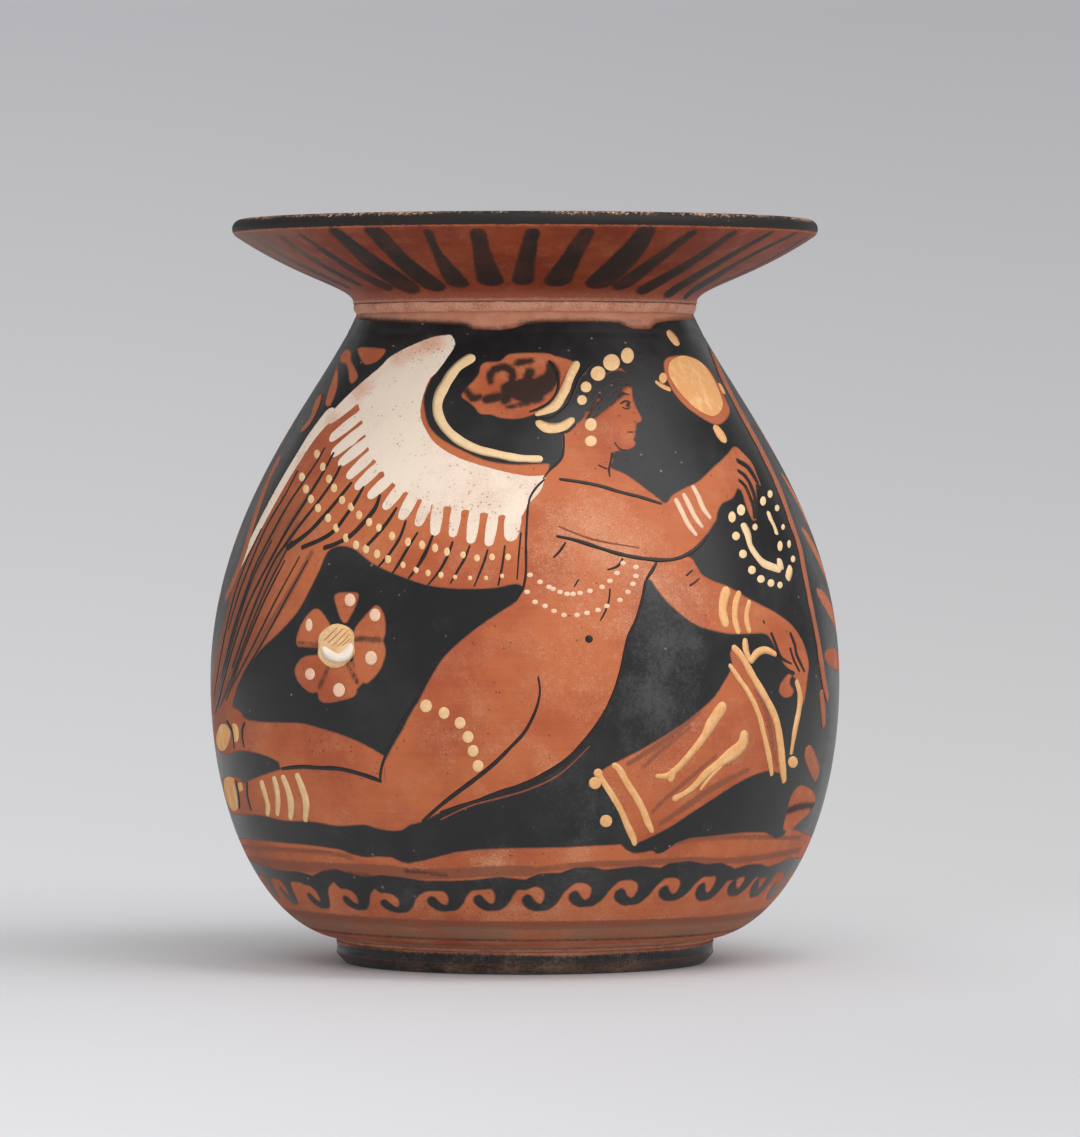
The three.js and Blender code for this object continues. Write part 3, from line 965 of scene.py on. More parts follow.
WHITE = (224, 207, 189)
WHITE_WORN = (200, 166, 146)
CREAM = (222, 188, 142)
CREAM_PALE = (232, 208, 168)
WING_TAN = (218, 176, 126)
WING_TAN_PALE = (234, 204, 162)
LINE_BLACK = (28, 24, 24)
LINE_BROWN = (62, 40, 30)
CHALKY = 0.75
LINE_ROUGH = 0.36
LINE_SPECKLE = 0.35
LINE_RELIEF = 0.00004
cream_paint = paint_finish("added_cream", CREAM, CREAM_PALE, CHALKY)
line_slip = paint_finish(
    "relief_black", LINE_BLACK, LINE_BROWN, LINE_ROUGH, speckle=LINE_SPECKLE, high=LINE_RELIEF)
reserve(WING_OUTLINE)
for places, widths in FEATHER_SHADES:
    body_skin.add("wash", brushed(places, widths))
reserve(WING_WHITE, "white")
body_skin.add("white", brushed(WING_RIM, WING_RIM_WIDTHS))
for root, end, wide in WHITE_TIPS:
    middle = ((root[0] + end[0]) / 2, (root[1] + end[1]) / 2)
    body_skin.add("white", brushed([root, middle, end], [wide * share for share in TIP_SHARES]))
wing_dots = []
for number, row in enumerate((DOT_ROW_UPPER, DOT_ROW_LOWER)):
    for across, down in row:
        size = next(sizes[1 + number] for sizes in DOT_SIZES if across <= sizes[0])
        wing_dots.append((across, down, *size))
wing_paint = paint_finish("wing_tan", WING_TAN, WING_TAN_PALE, CHALKY)
laid("wing_dots", [], wing_dots, wing_paint)
laid("wing_feather_lines", drawn(FEATHER_LINES), [], line_slip)
laid("wing_cream_edge", drawn([(WING_ARC, WING_ARC_WIDTHS)]), [], cream_paint)

# Figure. A winged youth kneeling on one leg and stretching both arms forward: bare clay with the
# inner lines drawn in relief. The face is a calm general one, laid out in equal thirds.
TORSO_OUTLINE = [
    (563, 432), (564, 440), (563, 455), (558, 463), (550, 470), (543, 478), (532, 492), (527, 510),
    (526, 540), (526, 569), (524, 585), (521, 592), (515, 602), (500, 612), (485, 622), (470, 633),
    (455, 646), (443, 658), (434, 672), (426, 686), (419, 700), (410, 714), (402, 730), (395, 742),
    (386, 758), (384, 770), (384, 786), (380, 800), (378, 818), (382, 828), (392, 831), (403, 830),
    (410, 825), (422, 822), (440, 813), (460, 806), (480, 800), (500, 792), (520, 786), (540, 777),
    (560, 765), (573, 754), (583, 743), (595, 728), (605, 712), (613, 695), (618, 680), (622, 665),
    (625, 650), (629, 635), (636, 620), (642, 600), (646, 580), (660, 560), (690, 553), (697, 546),
    (705, 537), (712, 527), (717, 515), (700, 500), (670, 505), (664, 503), (660, 499), (648, 490),
    (636, 481), (624, 473), (612, 468), (610, 462), (612, 455), (600, 440), (585, 430),
]
NEAR_LEG = [
    (384, 780), (384, 780), (375, 779), (360, 774), (340, 769), (320, 768), (300, 767), (281, 769),
    (265, 774), (252, 779), (243, 783), (240, 778), (228, 776), (222, 780), (220, 792), (226, 806),
    (234, 814), (246, 815), (262, 816), (285, 821), (312, 822), (335, 826), (350, 826), (365, 825),
    (378, 829), (390, 831), (390, 831), (400, 810), (396, 790),
]
FAR_LEG = [
    (229, 706), (240, 711), (246, 719), (270, 722), (300, 723), (320, 728), (340, 734), (360, 742),
    (375, 750), (386, 757), (386, 757), (384, 783), (384, 783), (375, 781), (360, 776), (340, 771),
    (320, 770), (300, 769), (281, 769), (279, 763), (268, 757), (255, 753), (240, 751), (228, 755),
    (219, 751), (212, 738), (213, 722), (220, 709),
]
NEAR_ARM = [
    (640, 500), (664, 503), (672, 495), (684, 488), (695, 483), (703, 477), (712, 468), (720, 461),
    (728, 453), (735, 446), (745, 455), (752, 463), (757, 475), (761, 486), (756, 484), (757, 500),
    (757, 518), (753, 521), (748, 512), (745, 503), (742, 493), (738, 488), (733, 498), (722, 504),
    (718, 512), (712, 527), (705, 537), (697, 546), (688, 554), (675, 559), (650, 561),
]
FAR_ARM = [
    (640, 575), (660, 556), (688, 556), (697, 566), (702, 574), (712, 580), (728, 586), (745, 596),
    (760, 604), (775, 612), (790, 623), (800, 636), (806, 650), (809, 665), (808, 675), (806, 692),
    (803, 706), (799, 694), (797, 682), (792, 676), (790, 684), (794, 690), (792, 696), (785, 698),
    (779, 692), (781, 683), (786, 676), (790, 671), (784, 664), (776, 650), (771, 640), (765, 634),
    (750, 634), (730, 634), (710, 630), (694, 624), (680, 614), (667, 602), (657, 590), (650, 580),
]
# Head: the brow, the base of the nose and the chin stand a third of the face apart
HAIRLINE = 376
FACE_THIRD = 24
FACE_FRONT = 632
BROW = HAIRLINE + FACE_THIRD
NOSE_BASE = BROW + FACE_THIRD
CHIN = NOSE_BASE + FACE_THIRD
MOUTH_LINE = NOSE_BASE + FACE_THIRD / 3
HEAD_OUTLINE = [
    (FACE_FRONT - 12, HAIRLINE - 8), (FACE_FRONT - 4, HAIRLINE), (FACE_FRONT, HAIRLINE + 10),
    (FACE_FRONT + 1, BROW - 2), (FACE_FRONT + 5, BROW + 9), (FACE_FRONT + 10, NOSE_BASE - 6),
    (FACE_FRONT + 9, NOSE_BASE - 2), (FACE_FRONT + 3, NOSE_BASE), (FACE_FRONT + 3, NOSE_BASE),
    (FACE_FRONT + 5, NOSE_BASE + 4), (FACE_FRONT + 3, MOUTH_LINE), (FACE_FRONT + 4, MOUTH_LINE + 4),
    (FACE_FRONT + 1, MOUTH_LINE + 7), (FACE_FRONT + 4, CHIN - 6), (FACE_FRONT + 2, CHIN - 1),
    (FACE_FRONT - 5, CHIN + 2), (FACE_FRONT - 14, CHIN + 3), (FACE_FRONT - 20, CHIN + 6),
    (FACE_FRONT - 21, CHIN + 16), (575, 462), (563, 450), (566, 430), (583, 418), (590, 392), (604, 376),
]
HAIR_BUN = [
    (461, 396), (467, 387), (473, 381), (479, 373), (480, 366), (486, 362), (500, 361), (507, 355),
    (518, 353), (545, 353), (556, 356), (570, 360), (577, 366), (572, 380), (564, 394), (552, 405),
    (535, 414), (518, 419), (500, 418), (492, 415), (480, 414), (475, 408), (468, 402),
]
BUN_CURLS = [
    # places along a curl of thin black, its widths, and how much wider than drawn it soaked in
    ([(491, 382), (490, 375), (496, 369), (505, 367), (512, 372), (512, 382), (504, 387)], 6, 0.2),
    ([(505, 400), (509, 391), (521, 388), (536, 388), (547, 382), (553, 373), (551, 365)],
     [9, 13, 17, 19, 17, 13, 7], 0.2),
    ([(514, 394), (526, 397), (538, 398)], [8, 11, 8], 0.2),
    ([(517, 363), (530, 361)], 7, -0.1), ([(530, 372), (527, 381)], 9, 0.1),
    ([(466, 390), (473, 398), (479, 397)], [7, 9, 7], 0.0),
    ([(487, 399), (497, 397)], 9, 0.1),
    ([(508, 407), (520, 405), (531, 402)], 5, -0.1),
]
FACE_HAIR = [
    ([(588, 408), (591, 400), (598, 389), (607, 381), (616, 376), (624, 377), (629, 384)],
     [7, 9, 10, 10, 9, 8, 5]),
    ([(590, 418), (596, 411), (604, 404), (612, 398), (621, 393)], [5, 8, 10, 9, 5]),
    ([(604, 396), (612, 388), (622, 384)], [10, 10, 8]),
    ([(571, 372), (566, 384), (560, 396)], [4, 5, 4]),
]
FIGURE_LINES = [
    ([(528, 504), (526, 540), (526, 569), (524, 585), (521, 592), (515, 602)], 2.6),
    ([(545, 479), (536, 488), (530, 498), (528, 508)], 2.4),
    ([(563, 432), (564, 440), (563, 455), (558, 463), (550, 470), (543, 479)], 2.4),
    ([(612, 452), (611, 460), (609, 470), (610, 477)], 2.4),
    ([(559, 479), (580, 482), (600, 486), (620, 492), (640, 497), (662, 504)], 3.4),
    ([(598, 465), (607, 469)], 2.4),
    ([(736, 460), (746.6, 466), (752.6, 474), (758.6, 484.7)], 4),
    ([(737, 470), (745, 476), (751, 486), (755, 500), (756, 519)], 3.5),
    ([(738, 479.5), (745, 486), (750, 497), (753.5, 508.7), (754, 519)], 3),
    ([(556, 536), (575, 540), (600, 548), (620, 554), (640, 558), (660, 560), (675, 559), (688, 554),
      (700, 545), (708, 535)], 4.0),
    ([(566, 542), (560, 551), (553, 558)], 2.6),
    ([(623, 558), (618, 566), (607, 570)], 2.6),
    ([(657, 562), (652, 571), (646, 580)], 3.4),
    ([(579, 579), (574, 587)], 2.2),
    ([(610, 588), (609, 600), (605, 612), (600, 621)], 2.2),
    ([(686, 576), (693, 570)], 2.6),
    ([(689, 586), (694, 583), (700, 578)], 2.4),
    ([(763, 620), (765, 624)], 2.4),
    ([(646, 580), (642, 600), (636, 620), (629, 635), (625, 650), (622, 665), (618, 680), (613, 695),
      (605, 712), (595, 728), (583, 743), (573, 754), (560, 765), (540, 777), (520, 786), (500, 792),
      (480, 800), (460, 806), (440, 813)],
     [2.5, 3, 3, 3, 3, 3, 3, 3.4, 3.6, 4, 4, 4.4, 4.8, 5, 5, 4.6, 4, 3.6, 3]),
    ([(538, 676), (540, 690), (538, 703), (533, 717), (524, 733), (510, 748), (495, 763), (478, 777),
      (458, 792), (440, 806), (422, 822)], [2, 2.4, 2.8, 3.4, 3.8, 4.2, 4.6, 5, 5, 4.6, 3]),
    ([(281, 769), (300, 767), (320, 768), (340, 769), (360, 774), (375, 779), (382, 782)], 4.6),
    ([(423, 690), (412, 707), (402, 722), (392, 740), (385, 757), (381, 770), (380, 783)], 3.4),
    ([(226, 721), (232, 732), (234, 749)], 2.4),
    ([(245, 722), (242, 732), (244, 748)], 2.4),
    ([(235, 780), (238, 795), (239, 808)], 2.4),
    ([(247, 782), (247, 795), (251, 811)], 2.4),
    ([(771, 632), (775, 642), (781, 657), (792, 664)], 3.0),
    ([(790, 632), (795, 645), (797, 655), (805, 672)], 2.8),
    ([(790, 647), (794, 660), (800, 672)], 2.4),
    ([(785, 670), (795, 674)], 6.0),
    ([(548.5, 360), (557.5, 375), (557.5, 390), (550, 402), (540, 408), (529, 412)], 3.2),
    ([(592, 364), (580, 378), (575, 390), (568, 405), (553, 417), (532, 419)], 3.4),
    ([(576, 424), (568, 431), (560, 433)], 3.0),
    ([(FACE_FRONT - 15, BROW - 3), (FACE_FRONT - 8, BROW - 6), (FACE_FRONT - 2, BROW - 5)], 1.8),
    ([(FACE_FRONT - 12, BROW + 4), (FACE_FRONT - 6, BROW + 1), (FACE_FRONT - 1, BROW + 3)], 2.2),
    ([(FACE_FRONT - 10, BROW + 7), (FACE_FRONT - 5, BROW + 9), (FACE_FRONT - 1, BROW + 7)], 1.5),
    ([(FACE_FRONT + 2, NOSE_BASE - 3), (FACE_FRONT + 4, NOSE_BASE - 2)], 1.8),
    ([(FACE_FRONT - 5, MOUTH_LINE), (FACE_FRONT + 2, MOUTH_LINE)], 1.8),
    ([(FACE_FRONT - 18, CHIN - 6), (FACE_FRONT - 12, CHIN + 1), (FACE_FRONT - 5, CHIN + 2)], 1.5),
]
FIGURE_LINE_DOTS = [(589, 639, 4, 4), (FACE_FRONT - 4, BROW + 5, 2.0, 2.4)]
FAINT_LINES = [
    ([(558, 526), (580, 535), (600, 541), (640, 548)], 2.2),
    ([(440, 820), (470, 806), (500, 798), (530, 789), (560, 774), (590, 746)], 2.0),
]
NECKLACE = [
    (530, 575), (540, 582), (549, 587), (553, 589), (560, 592), (567, 594), (573, 594), (580, 593),
    (590, 591), (602, 587), (610, 581), (617, 573), (623, 563), (636, 567), (636, 576), (633, 584),
    (628, 592), (527, 592), (535, 602), (545, 606), (554, 611), (564, 615), (577, 615), (587, 613),
    (598, 610), (607, 606), (620, 600),
]
NECKLACE_BEAD = (3.0, 2.4)
THIGH_BEADS = [
    (426, 706, 6, 6.5), (444, 713, 5.5, 6), (460, 723, 5.5, 6), (468, 737, 5.5, 6), (473, 751, 5.5, 6),
    (478, 766, 5.5, 6),
]
HEAD_BEADS = [
    (627.4, 355.5, 6.5, 8), (611.5, 362.4, 8.5, 8.5), (598, 373.5, 7.5, 7.5), (586, 387, 5.5, 5.5),
    (582, 400, 5, 5), (590.8, 424.5, 6, 6.5), (590.8, 441, 6, 5.5),
]
HEAD_BANDS = [
    ([(578, 361), (571, 375), (565, 390), (556, 405), (546, 411), (535, 415)], [8, 10, 10.5, 10, 8, 4]),
    ([(536, 421), (547, 428), (562, 427), (574, 418)], [7, 11, 11, 7]),
]
NEAR_RINGS = [
    ([(675, 498), (681, 510), (688, 524), (697, 536)], 5.5),
    ([(683, 493), (689, 505), (695, 517), (703, 528)], 5.5),
    ([(692, 485), (698, 496), (703, 508), (711, 519)], 5.5),
]
FAR_RINGS = [
    ([(728, 587), (724, 600), (723, 613), (727, 627)], [9, 10.5, 10.5, 9]),
    ([(740, 591), (736, 603), (735, 619), (739, 634)], [6, 7, 7, 6]),
    ([(750, 600), (747, 612), (747, 622), (750, 633)], [5, 6, 6, 5]),
]
ANKLE_RINGS = [
    ([(261, 780), (265, 794), (268, 806), (267, 816)], 5),
    ([(273.5, 776), (277, 790), (278, 803), (277, 816)], 5.5),
    ([(282, 775), (288, 790), (291, 805), (290, 820)], 7),
    ([(296, 773), (302, 788), (306, 803), (305, 822)], 7),
]
SHOES = [
    [(222, 724), (229, 727), (230, 738), (225, 750), (219, 750), (216, 740), (218, 730)],
    [(232, 723), (237, 725), (239, 733), (238, 741), (233, 741), (233, 732)],
    [(225, 778), (232, 777), (236, 784), (237, 796), (238, 808), (233, 811), (227, 801), (224, 788)],
    [(238, 782), (242, 783), (243, 791), (239, 792)],
]
BEAD_PINK = (226, 190, 162)
BEAD_ROSE = (212, 164, 134)
OCHRE = (216, 157, 100)
OCHRE_PALE = (230, 190, 140)
THIN_BROWN = (126, 66, 42)
THIN_LIGHT = (156, 84, 54)
OCHRE_ROUGH = 0.72
THIN_ROUGH = 0.5
THIN_RELIEF = 0.00003
HAIR_SOAKED = 0.3
for outline in (TORSO_OUTLINE, NEAR_LEG, FAR_LEG, NEAR_ARM, FAR_ARM, HEAD_OUTLINE, HAIR_BUN):
    reserve(outline)
for places, widths, soaked in BUN_CURLS:
    body_skin.add("thin", brushed(places, widths, shift=soaked))
for places, widths in FACE_HAIR:
    body_skin.add("thin", brushed(places, widths, shift=HAIR_SOAKED))
    body_skin.cut("clay", brushed(places, widths, shift=-HAIR_SOAKED))
for outline in SHOES:
    reserve(outline, "yellow")
bead_paint = paint_finish("added_pink", BEAD_PINK, BEAD_ROSE, CHALKY)
ochre_paint = paint_finish("added_ochre", OCHRE, OCHRE_PALE, OCHRE_ROUGH)
thin_slip = paint_finish("thin_brown", THIN_BROWN, THIN_LIGHT, THIN_ROUGH, high=THIN_RELIEF)
laid("figure_relief_lines", drawn(FIGURE_LINES), FIGURE_LINE_DOTS, line_slip)
laid("figure_faint_lines", drawn(FAINT_LINES), [], thin_slip)
laid("figure_beads", [], [(*place, *NECKLACE_BEAD) for place in NECKLACE], bead_paint)
laid("figure_thigh_beads", [], THIGH_BEADS, wing_paint)
laid("figure_head_beads", drawn(HEAD_BANDS), HEAD_BEADS, wing_paint)
laid("figure_arm_rings", drawn(NEAR_RINGS), [], bead_paint)
laid("figure_wrist_rings", drawn(FAR_RINGS), [], ochre_paint)
laid("figure_ankle_rings", drawn(ANKLE_RINGS), [], wing_paint)

# Things that the figure carries: a pail with a hooped handle, a round mirror and a string of beads,
# and a rosette in the field with brown strokes and a white crescent over its heart. The pail and the
# petals are bare clay; the rest is added colour.
PAIL_OUTLINE = [
    (732, 664), (729, 673), (722, 685), (714, 697), (700, 710), (685, 722), (665, 735), (645, 747),
    (622, 759), (610, 765), (600, 772), (598, 780), (606, 790), (614, 800), (620, 815), (626, 832),
    (633, 843), (640, 842), (655, 835), (672, 826), (693, 812), (713, 799), (733, 786), (750, 777),
    (768, 771), (782, 772), (782, 750), (778, 722), (768, 698), (752, 672), (738, 652), (732, 648),
    (730, 655),
]
PAIL_BANDS = [
    ([(732, 646), (742, 657), (755, 680), (767, 700), (776, 720), (780, 740), (782.5, 765),
      (784.5, 783)], 7.5),
    ([(729, 664), (740, 680), (750, 695), (759, 715), (764, 735), (769, 757), (772, 776)], 5.5),
    ([(598, 772), (604, 783), (613, 797), (621, 811), (627, 825), (633, 838), (635, 846)], 7),
    ([(612, 764), (619, 769), (627, 783), (636, 797), (643, 810), (648, 823), (653, 833)], 7.5),
    ([(745, 638), (746, 650), (751, 662)], 6),
    ([(750, 663), (757, 653), (766, 650), (777, 655)], 7.5),
    ([(796, 680), (800, 695), (799, 710), (795, 730), (791, 755)], 5),
]
PAIL_FLUTES = [
    ([(725, 703), (712, 722), (700, 742), (672, 773), (655, 776)], [12, 12, 8, 7, 5]),
    ([(674, 768), (670, 782)], [7, 8]),
    ([(744, 730), (742, 745), (728, 757), (708, 772), (690, 790), (672, 800)], [8, 14, 12, 8, 6, 6]),
    ([(735, 752), (712, 775), (700, 790)], 4),
]
PAIL_WASHES = [
    ([(700, 712), (676, 732), (650, 750), (628, 764)], [4, 6, 6, 4]),
    ([(690, 728), (664, 748), (642, 768)], [3, 4, 3]),
    ([(748, 770), (716, 786), (684, 808), (660, 824)], [4, 6, 6, 4]),
    ([(716, 756), (690, 778), (664, 800), (652, 812)], [3, 4, 4, 3]),
    ([(756, 690), (766, 712), (772, 740), (776, 766)], [3, 4, 4, 3]),
]
PAIL_DOTS = [(598, 773, 4.5, 4.5), (595, 783, 6.2, 6.2), (606, 821, 6.2, 6.2), (793, 762, 5, 6)]
MIRROR_RIM = [
    (664, 361), (672, 356), (690, 356), (706, 366), (716, 380), (724, 396), (730, 410), (726, 420),
    (716, 425), (700, 417), (684, 405), (672, 390), (665, 374),
]
MIRROR_DISC = [
    (680, 356), (690, 357), (702, 363), (712, 376), (719, 391), (723, 404), (719, 413), (712, 416),
    (700, 411), (688, 401), (677, 388), (669, 374), (670, 362),
]
MIRROR_STROKES = [
    ([(667, 331), (673, 338), (678, 346)], [5, 8, 6]), ([(714, 425), (720, 434), (725, 443)], [6, 9, 7]),
    ([(655, 381), (662, 386), (671, 390)], [3, 5, 5]), ([(719, 383), (722, 389), (724, 394)], [2, 3, 2]),
]
MIRROR_DOTS = [(663, 378, 4, 5.5)]
BEAD_STRING = [
    (732, 517, 4.3, 6.5), (741, 510, 4.8, 6.5), (755, 527, 3, 4), (736, 536, 4.5, 5), (743, 554, 4.5, 5),
    (752, 570, 4.5, 5), (761, 579, 4.5, 4.5), (771, 583, 4, 4.5), (780, 585, 3, 4), (793, 559, 2.5, 4),
    (789, 544, 2, 4.6), (780, 546, 3, 6), (783, 527, 2, 3.4), (777, 508, 2.6, 3.8), (770, 494, 2.9, 4.6),
    (763, 501, 3.4, 5.5),
]
BEAD_STROKES = [
    ([(742, 523), (747, 533), (750, 545), (756, 555), (763, 563), (772, 567), (781, 570)],
     [6, 7, 6, 6, 6.5, 7, 7]),
    ([(779, 558), (781, 570)], [5, 7]),
    ([(768, 511), (770, 518), (774, 526), (777, 535)], [3.6, 4.6, 3.4, 4]),
    ([(787, 580), (789, 573), (791, 566)], [5, 6, 4]),
]
ROSETTE_PETALS = [
    [(335, 594), (350, 592), (359, 594), (355, 608), (350, 618), (346, 624), (341, 620), (336, 606)],
    [(376, 605), (384, 614), (386, 628), (383, 640), (371, 640), (356, 638), (354, 630), (362, 619)],
    [(354, 642), (364, 638), (382, 641), (386, 652), (382, 667), (375, 677), (365, 684), (355, 672)],
    [(335, 664), (350, 666), (357, 684), (356, 695), (345, 700), (328, 703), (319, 700), (320, 686)],
    [(316, 655), (324, 656), (332, 670), (324, 684), (315, 693), (307, 691), (297, 680), (295, 668),
     (303, 657)],
    [(297, 643), (299, 629), (307, 615), (317, 608), (326, 617), (332, 630), (322, 638), (312, 643)],
]
ROSETTE_DOTS = [
    (350, 600, 5.5, 6.5), (375, 615, 5.5, 6.5), (371, 658, 6, 7), (339, 690, 6, 7), (310, 674, 5, 6),
    (309, 625, 3.5, 6.5),
]
ROSETTE_GAPS = [
    ([(352, 640), (364, 639), (379, 640)], [8, 9, 10]), ([(346, 660), (352, 672), (357, 682)], [6, 8, 10]),
    ([(330, 662), (325, 675), (320, 687)], [7, 8, 10]), ([(320, 645), (299, 643)], [6, 8]),
]
GAP_DARK_SHARE = 0.4
DOME = [(335.5, 624), (335.5, 646), (335.5, 668)]
DOME_WIDTHS = [43, 48, 45]
DOME_CRESCENT = [(322, 647), (329, 654.5), (338, 658), (347, 654), (351.5, 643)]
DOME_CRESCENT_WIDTHS = [5, 10, 12, 11, 5]
DOME_HATCH = [
    ([(324, 641), (331, 634), (338, 627)], 1.1), ([(328, 643), (336, 636), (344, 628)], 1.2),
    ([(332, 646), (341, 638), (348, 630)], 1.1), ([(337, 647), (344, 641), (350, 634)], 1.2),
    ([(342, 646), (347, 642), (351, 638)], 1.0),
]
BAND_STANDS = 0.18
BEAD_SHARE = 0.88
DOME_CREAM = (226, 188, 140)
DOME_ORANGE = (212, 154, 100)
DOME_WHITE = (240, 226, 208)
HATCH_BROWN = (170, 116, 70)
DOME_ROUGH = 0.7
DOME_SPECKLE = 0.8
CRESCENT_LIFT = 0.06
HATCH_LIFT = 0.95
MIRROR_OCHRE = (218, 158, 100)
MIRROR_PALE = (230, 184, 130)
reserve(PAIL_OUTLINE)
reserve(MIRROR_RIM)
reserve(MIRROR_DISC, "yellow")
for petal in ROSETTE_PETALS:
    reserve(petal)
for places, widths in PAIL_WASHES:
    body_skin.add("wash", brushed(places, widths))
for places, widths in ROSETTE_GAPS:
    body_skin.add("clay", brushed(places, widths))
    body_skin.add("thin", brushed(places, [width * GAP_DARK_SHARE for width in widths]))
dome_paint = paint_finish("dome_paint", DOME_CREAM, DOME_ORANGE, DOME_ROUGH, speckle=DOME_SPECKLE)
dome_white = paint_finish("dome_white", DOME_WHITE, WHITE, DOME_ROUGH)
laid("pail_bands", drawn(PAIL_BANDS + PAIL_FLUTES), PAIL_DOTS, ochre_paint, stands=BAND_STANDS)
laid("mirror_trim", drawn(MIRROR_STROKES), MIRROR_DOTS, ochre_paint)
beads = [(across, down, wide * BEAD_SHARE, tall * BEAD_SHARE) for across, down, wide, tall in BEAD_STRING]
laid("bead_string", drawn(BEAD_STROKES), beads, cream_paint)
laid("rosette_dots", [], ROSETTE_DOTS, bead_paint)
laid("rosette_dome", drawn([(DOME, DOME_WIDTHS)]), [], dome_paint)
hatch_paint = paint_finish("hatch_paint", HATCH_BROWN, DOME_ORANGE, DOME_ROUGH)
laid("rosette_hatch", drawn(DOME_HATCH), [], hatch_paint, lift=LINE_LIMIT * HATCH_LIFT)
laid("rosette_crescent", drawn([(DOME_CRESCENT, DOME_CRESCENT_WIDTHS)]), [], dome_white, lift=CRESCENT_LIFT)

# Palmettes and tendrils. Half palmettes stand at both sides of the picture and whole ones round the
# back, under the handle, as petals of bare clay, with long curling stems of thin slip between them.
LEFT_PETALS = [
    [(357, 349), (362, 347), (378, 348), (386, 350), (381, 358), (374, 363), (366, 365), (362, 362),
     (359, 356)],
    [(346, 349), (351, 352), (351, 360), (355, 368), (358, 377), (352, 384), (349, 380), (348, 370),
     (345, 363), (341, 363), (340, 357)],
    [(337, 365), (338, 375), (337, 388), (333, 400), (329, 407), (325, 404), (327, 395), (331, 383),
     (335, 370)],
]
LEFT_STROKES = [
    ([(319, 396), (315, 410), (309, 422), (301, 431)], 5),
    ([(280, 456), (266, 486), (254, 520), (244, 553), (234, 580), (225, 600)], [3, 4, 4.5, 4.5, 4, 3]),
]
RIGHT_STROKES = [
    ([(713, 354), (724, 380), (734.6, 400.6), (746.6, 423), (758.6, 445), (769, 466), (777.5, 484.7),
      (786, 507), (793, 527.5), (799.8, 548), (805, 575), (812, 610), (818, 640), (824, 680),
      (828, 700)], 5),
    ([(821, 690), (823, 708), (824, 727)], 5), ([(806, 748), (812, 762), (818, 777)], 9),
]
HALF_FAN_TIPS = [(757, 424), (783, 476), (803, 530), (818, 592), (826, 656)]
HALF_FAN_HEART = (107, 66)
HALF_FAN_LEFT = -84
HALF_FAN_SHARES = (0.0, 0.06, 0.2, 0.45, 0.62, 0.74)
HALF_FAN_WIDTHS = (2.2, 4.0, 5.2, 3.8, 2.2, 1.0)
RIGHT_BASE = [
    (783, 830), (786, 815), (790, 799), (796, 788), (803, 785), (812, 790), (816, 799), (810, 812),
    (800, 822), (790, 830),
]
BASE_THIN = ([(787, 811), (803, 806), (816, 806)], 5)
for petal in LEFT_PETALS + [RIGHT_BASE]:
    reserve(petal)
body_skin.add("thin", brushed(*BASE_THIN))
# Fans at the sides and back: turn round the jug and height of the heart, lean, reach in mm, petals
FANS = [
    (180, 33, 0, 31, 13), (180, 132, 180, 17, 7), (-116, 108, 18, 24, 9), (118, 108, -18, 24, 9),
    (-138, 58, -40, 21, 7), (138, 58, 40, 21, 7),
]
FAN_SPREAD = 104
PETAL_SHARES = (0.22, 0.5, 0.78, 0.94)
PETAL_WIDTHS = (1.0, 2.3, 3.9, 3.2)
PETAL_DROOP = 0.22
PETAL_BEND = 0.10
PETAL_GAP = 0.8
FAN_REACH = 24
FAN_WIDTHS = (0.8, 2.2)
HEART_RADIUS = 2.6
HEART_HOLE = 0.7
HEART_LENGTH = 0.1
SCROLLS = [
    # a stem from the foot of one fan to another: places as turn and height
    [(172, 31), (160, 30), (148, 36), (140, 46), (138, 54)],
    [(188, 31), (200, 30), (212, 36), (220, 46), (222, 54)],
    [(126, 40), (116, 52), (112, 68), (113, 84), (117, 102)],
    [(234, 40), (244, 52), (248, 68), (247, 84), (243, 102)],
    [(152, 38), (158, 52), (160, 70), (154, 92), (140, 112), (130, 124), (120, 128)],
    [(208, 38), (202, 52), (200, 70), (206, 92), (220, 112), (230, 124), (240, 128)],
]
SCROLL_WIDTH = 2.1
SCROLL_GAP = 1.2
TURN_TO_MM = 70
CURL_TURNS = 1.35
CURL_STEPS = 44
CURL_SHRINKS = 0.8
CURL_WIDTHS = (0.6, 1.2)
CURLS = [
    # turn, height, size in mm, and which way each curl winds
    (146, 78, 5.5, -1), (214, 78, 5.5, 1), (128, 88, 5.0, 1), (232, 88, 5.0, -1),
]
STEM_CLAY = (164, 92, 60)
STEM_BROWN = (132, 80, 56)
STEM_ROUGH = 0.55


def round_back(turn, height, places):
    """Places in mm beside and above a point on the body, as angle and length."""
    start = height_to_length(body_skin, height)
    flat = []
    for across, up in places:
        radius = float(np.interp(start + up, body_skin.along, body_outer[:, 0]))
        flat.append((math.radians(turn) + across / radius, start + up))
    return np.array(flat)


def fan_heart(turn, height):
    """The round heart of a palmette: a ring of bare clay with a black middle."""
    heart = round_back(turn, height, [(-HEART_LENGTH, 0), (HEART_LENGTH, 0)])
    body_skin.add("clay", body_skin.gaps(heart, widths=[2 * HEART_RADIUS] * 2))
    body_skin.cut("clay", body_skin.gaps(heart, widths=[HEART_RADIUS * HEART_HOLE] * 2))


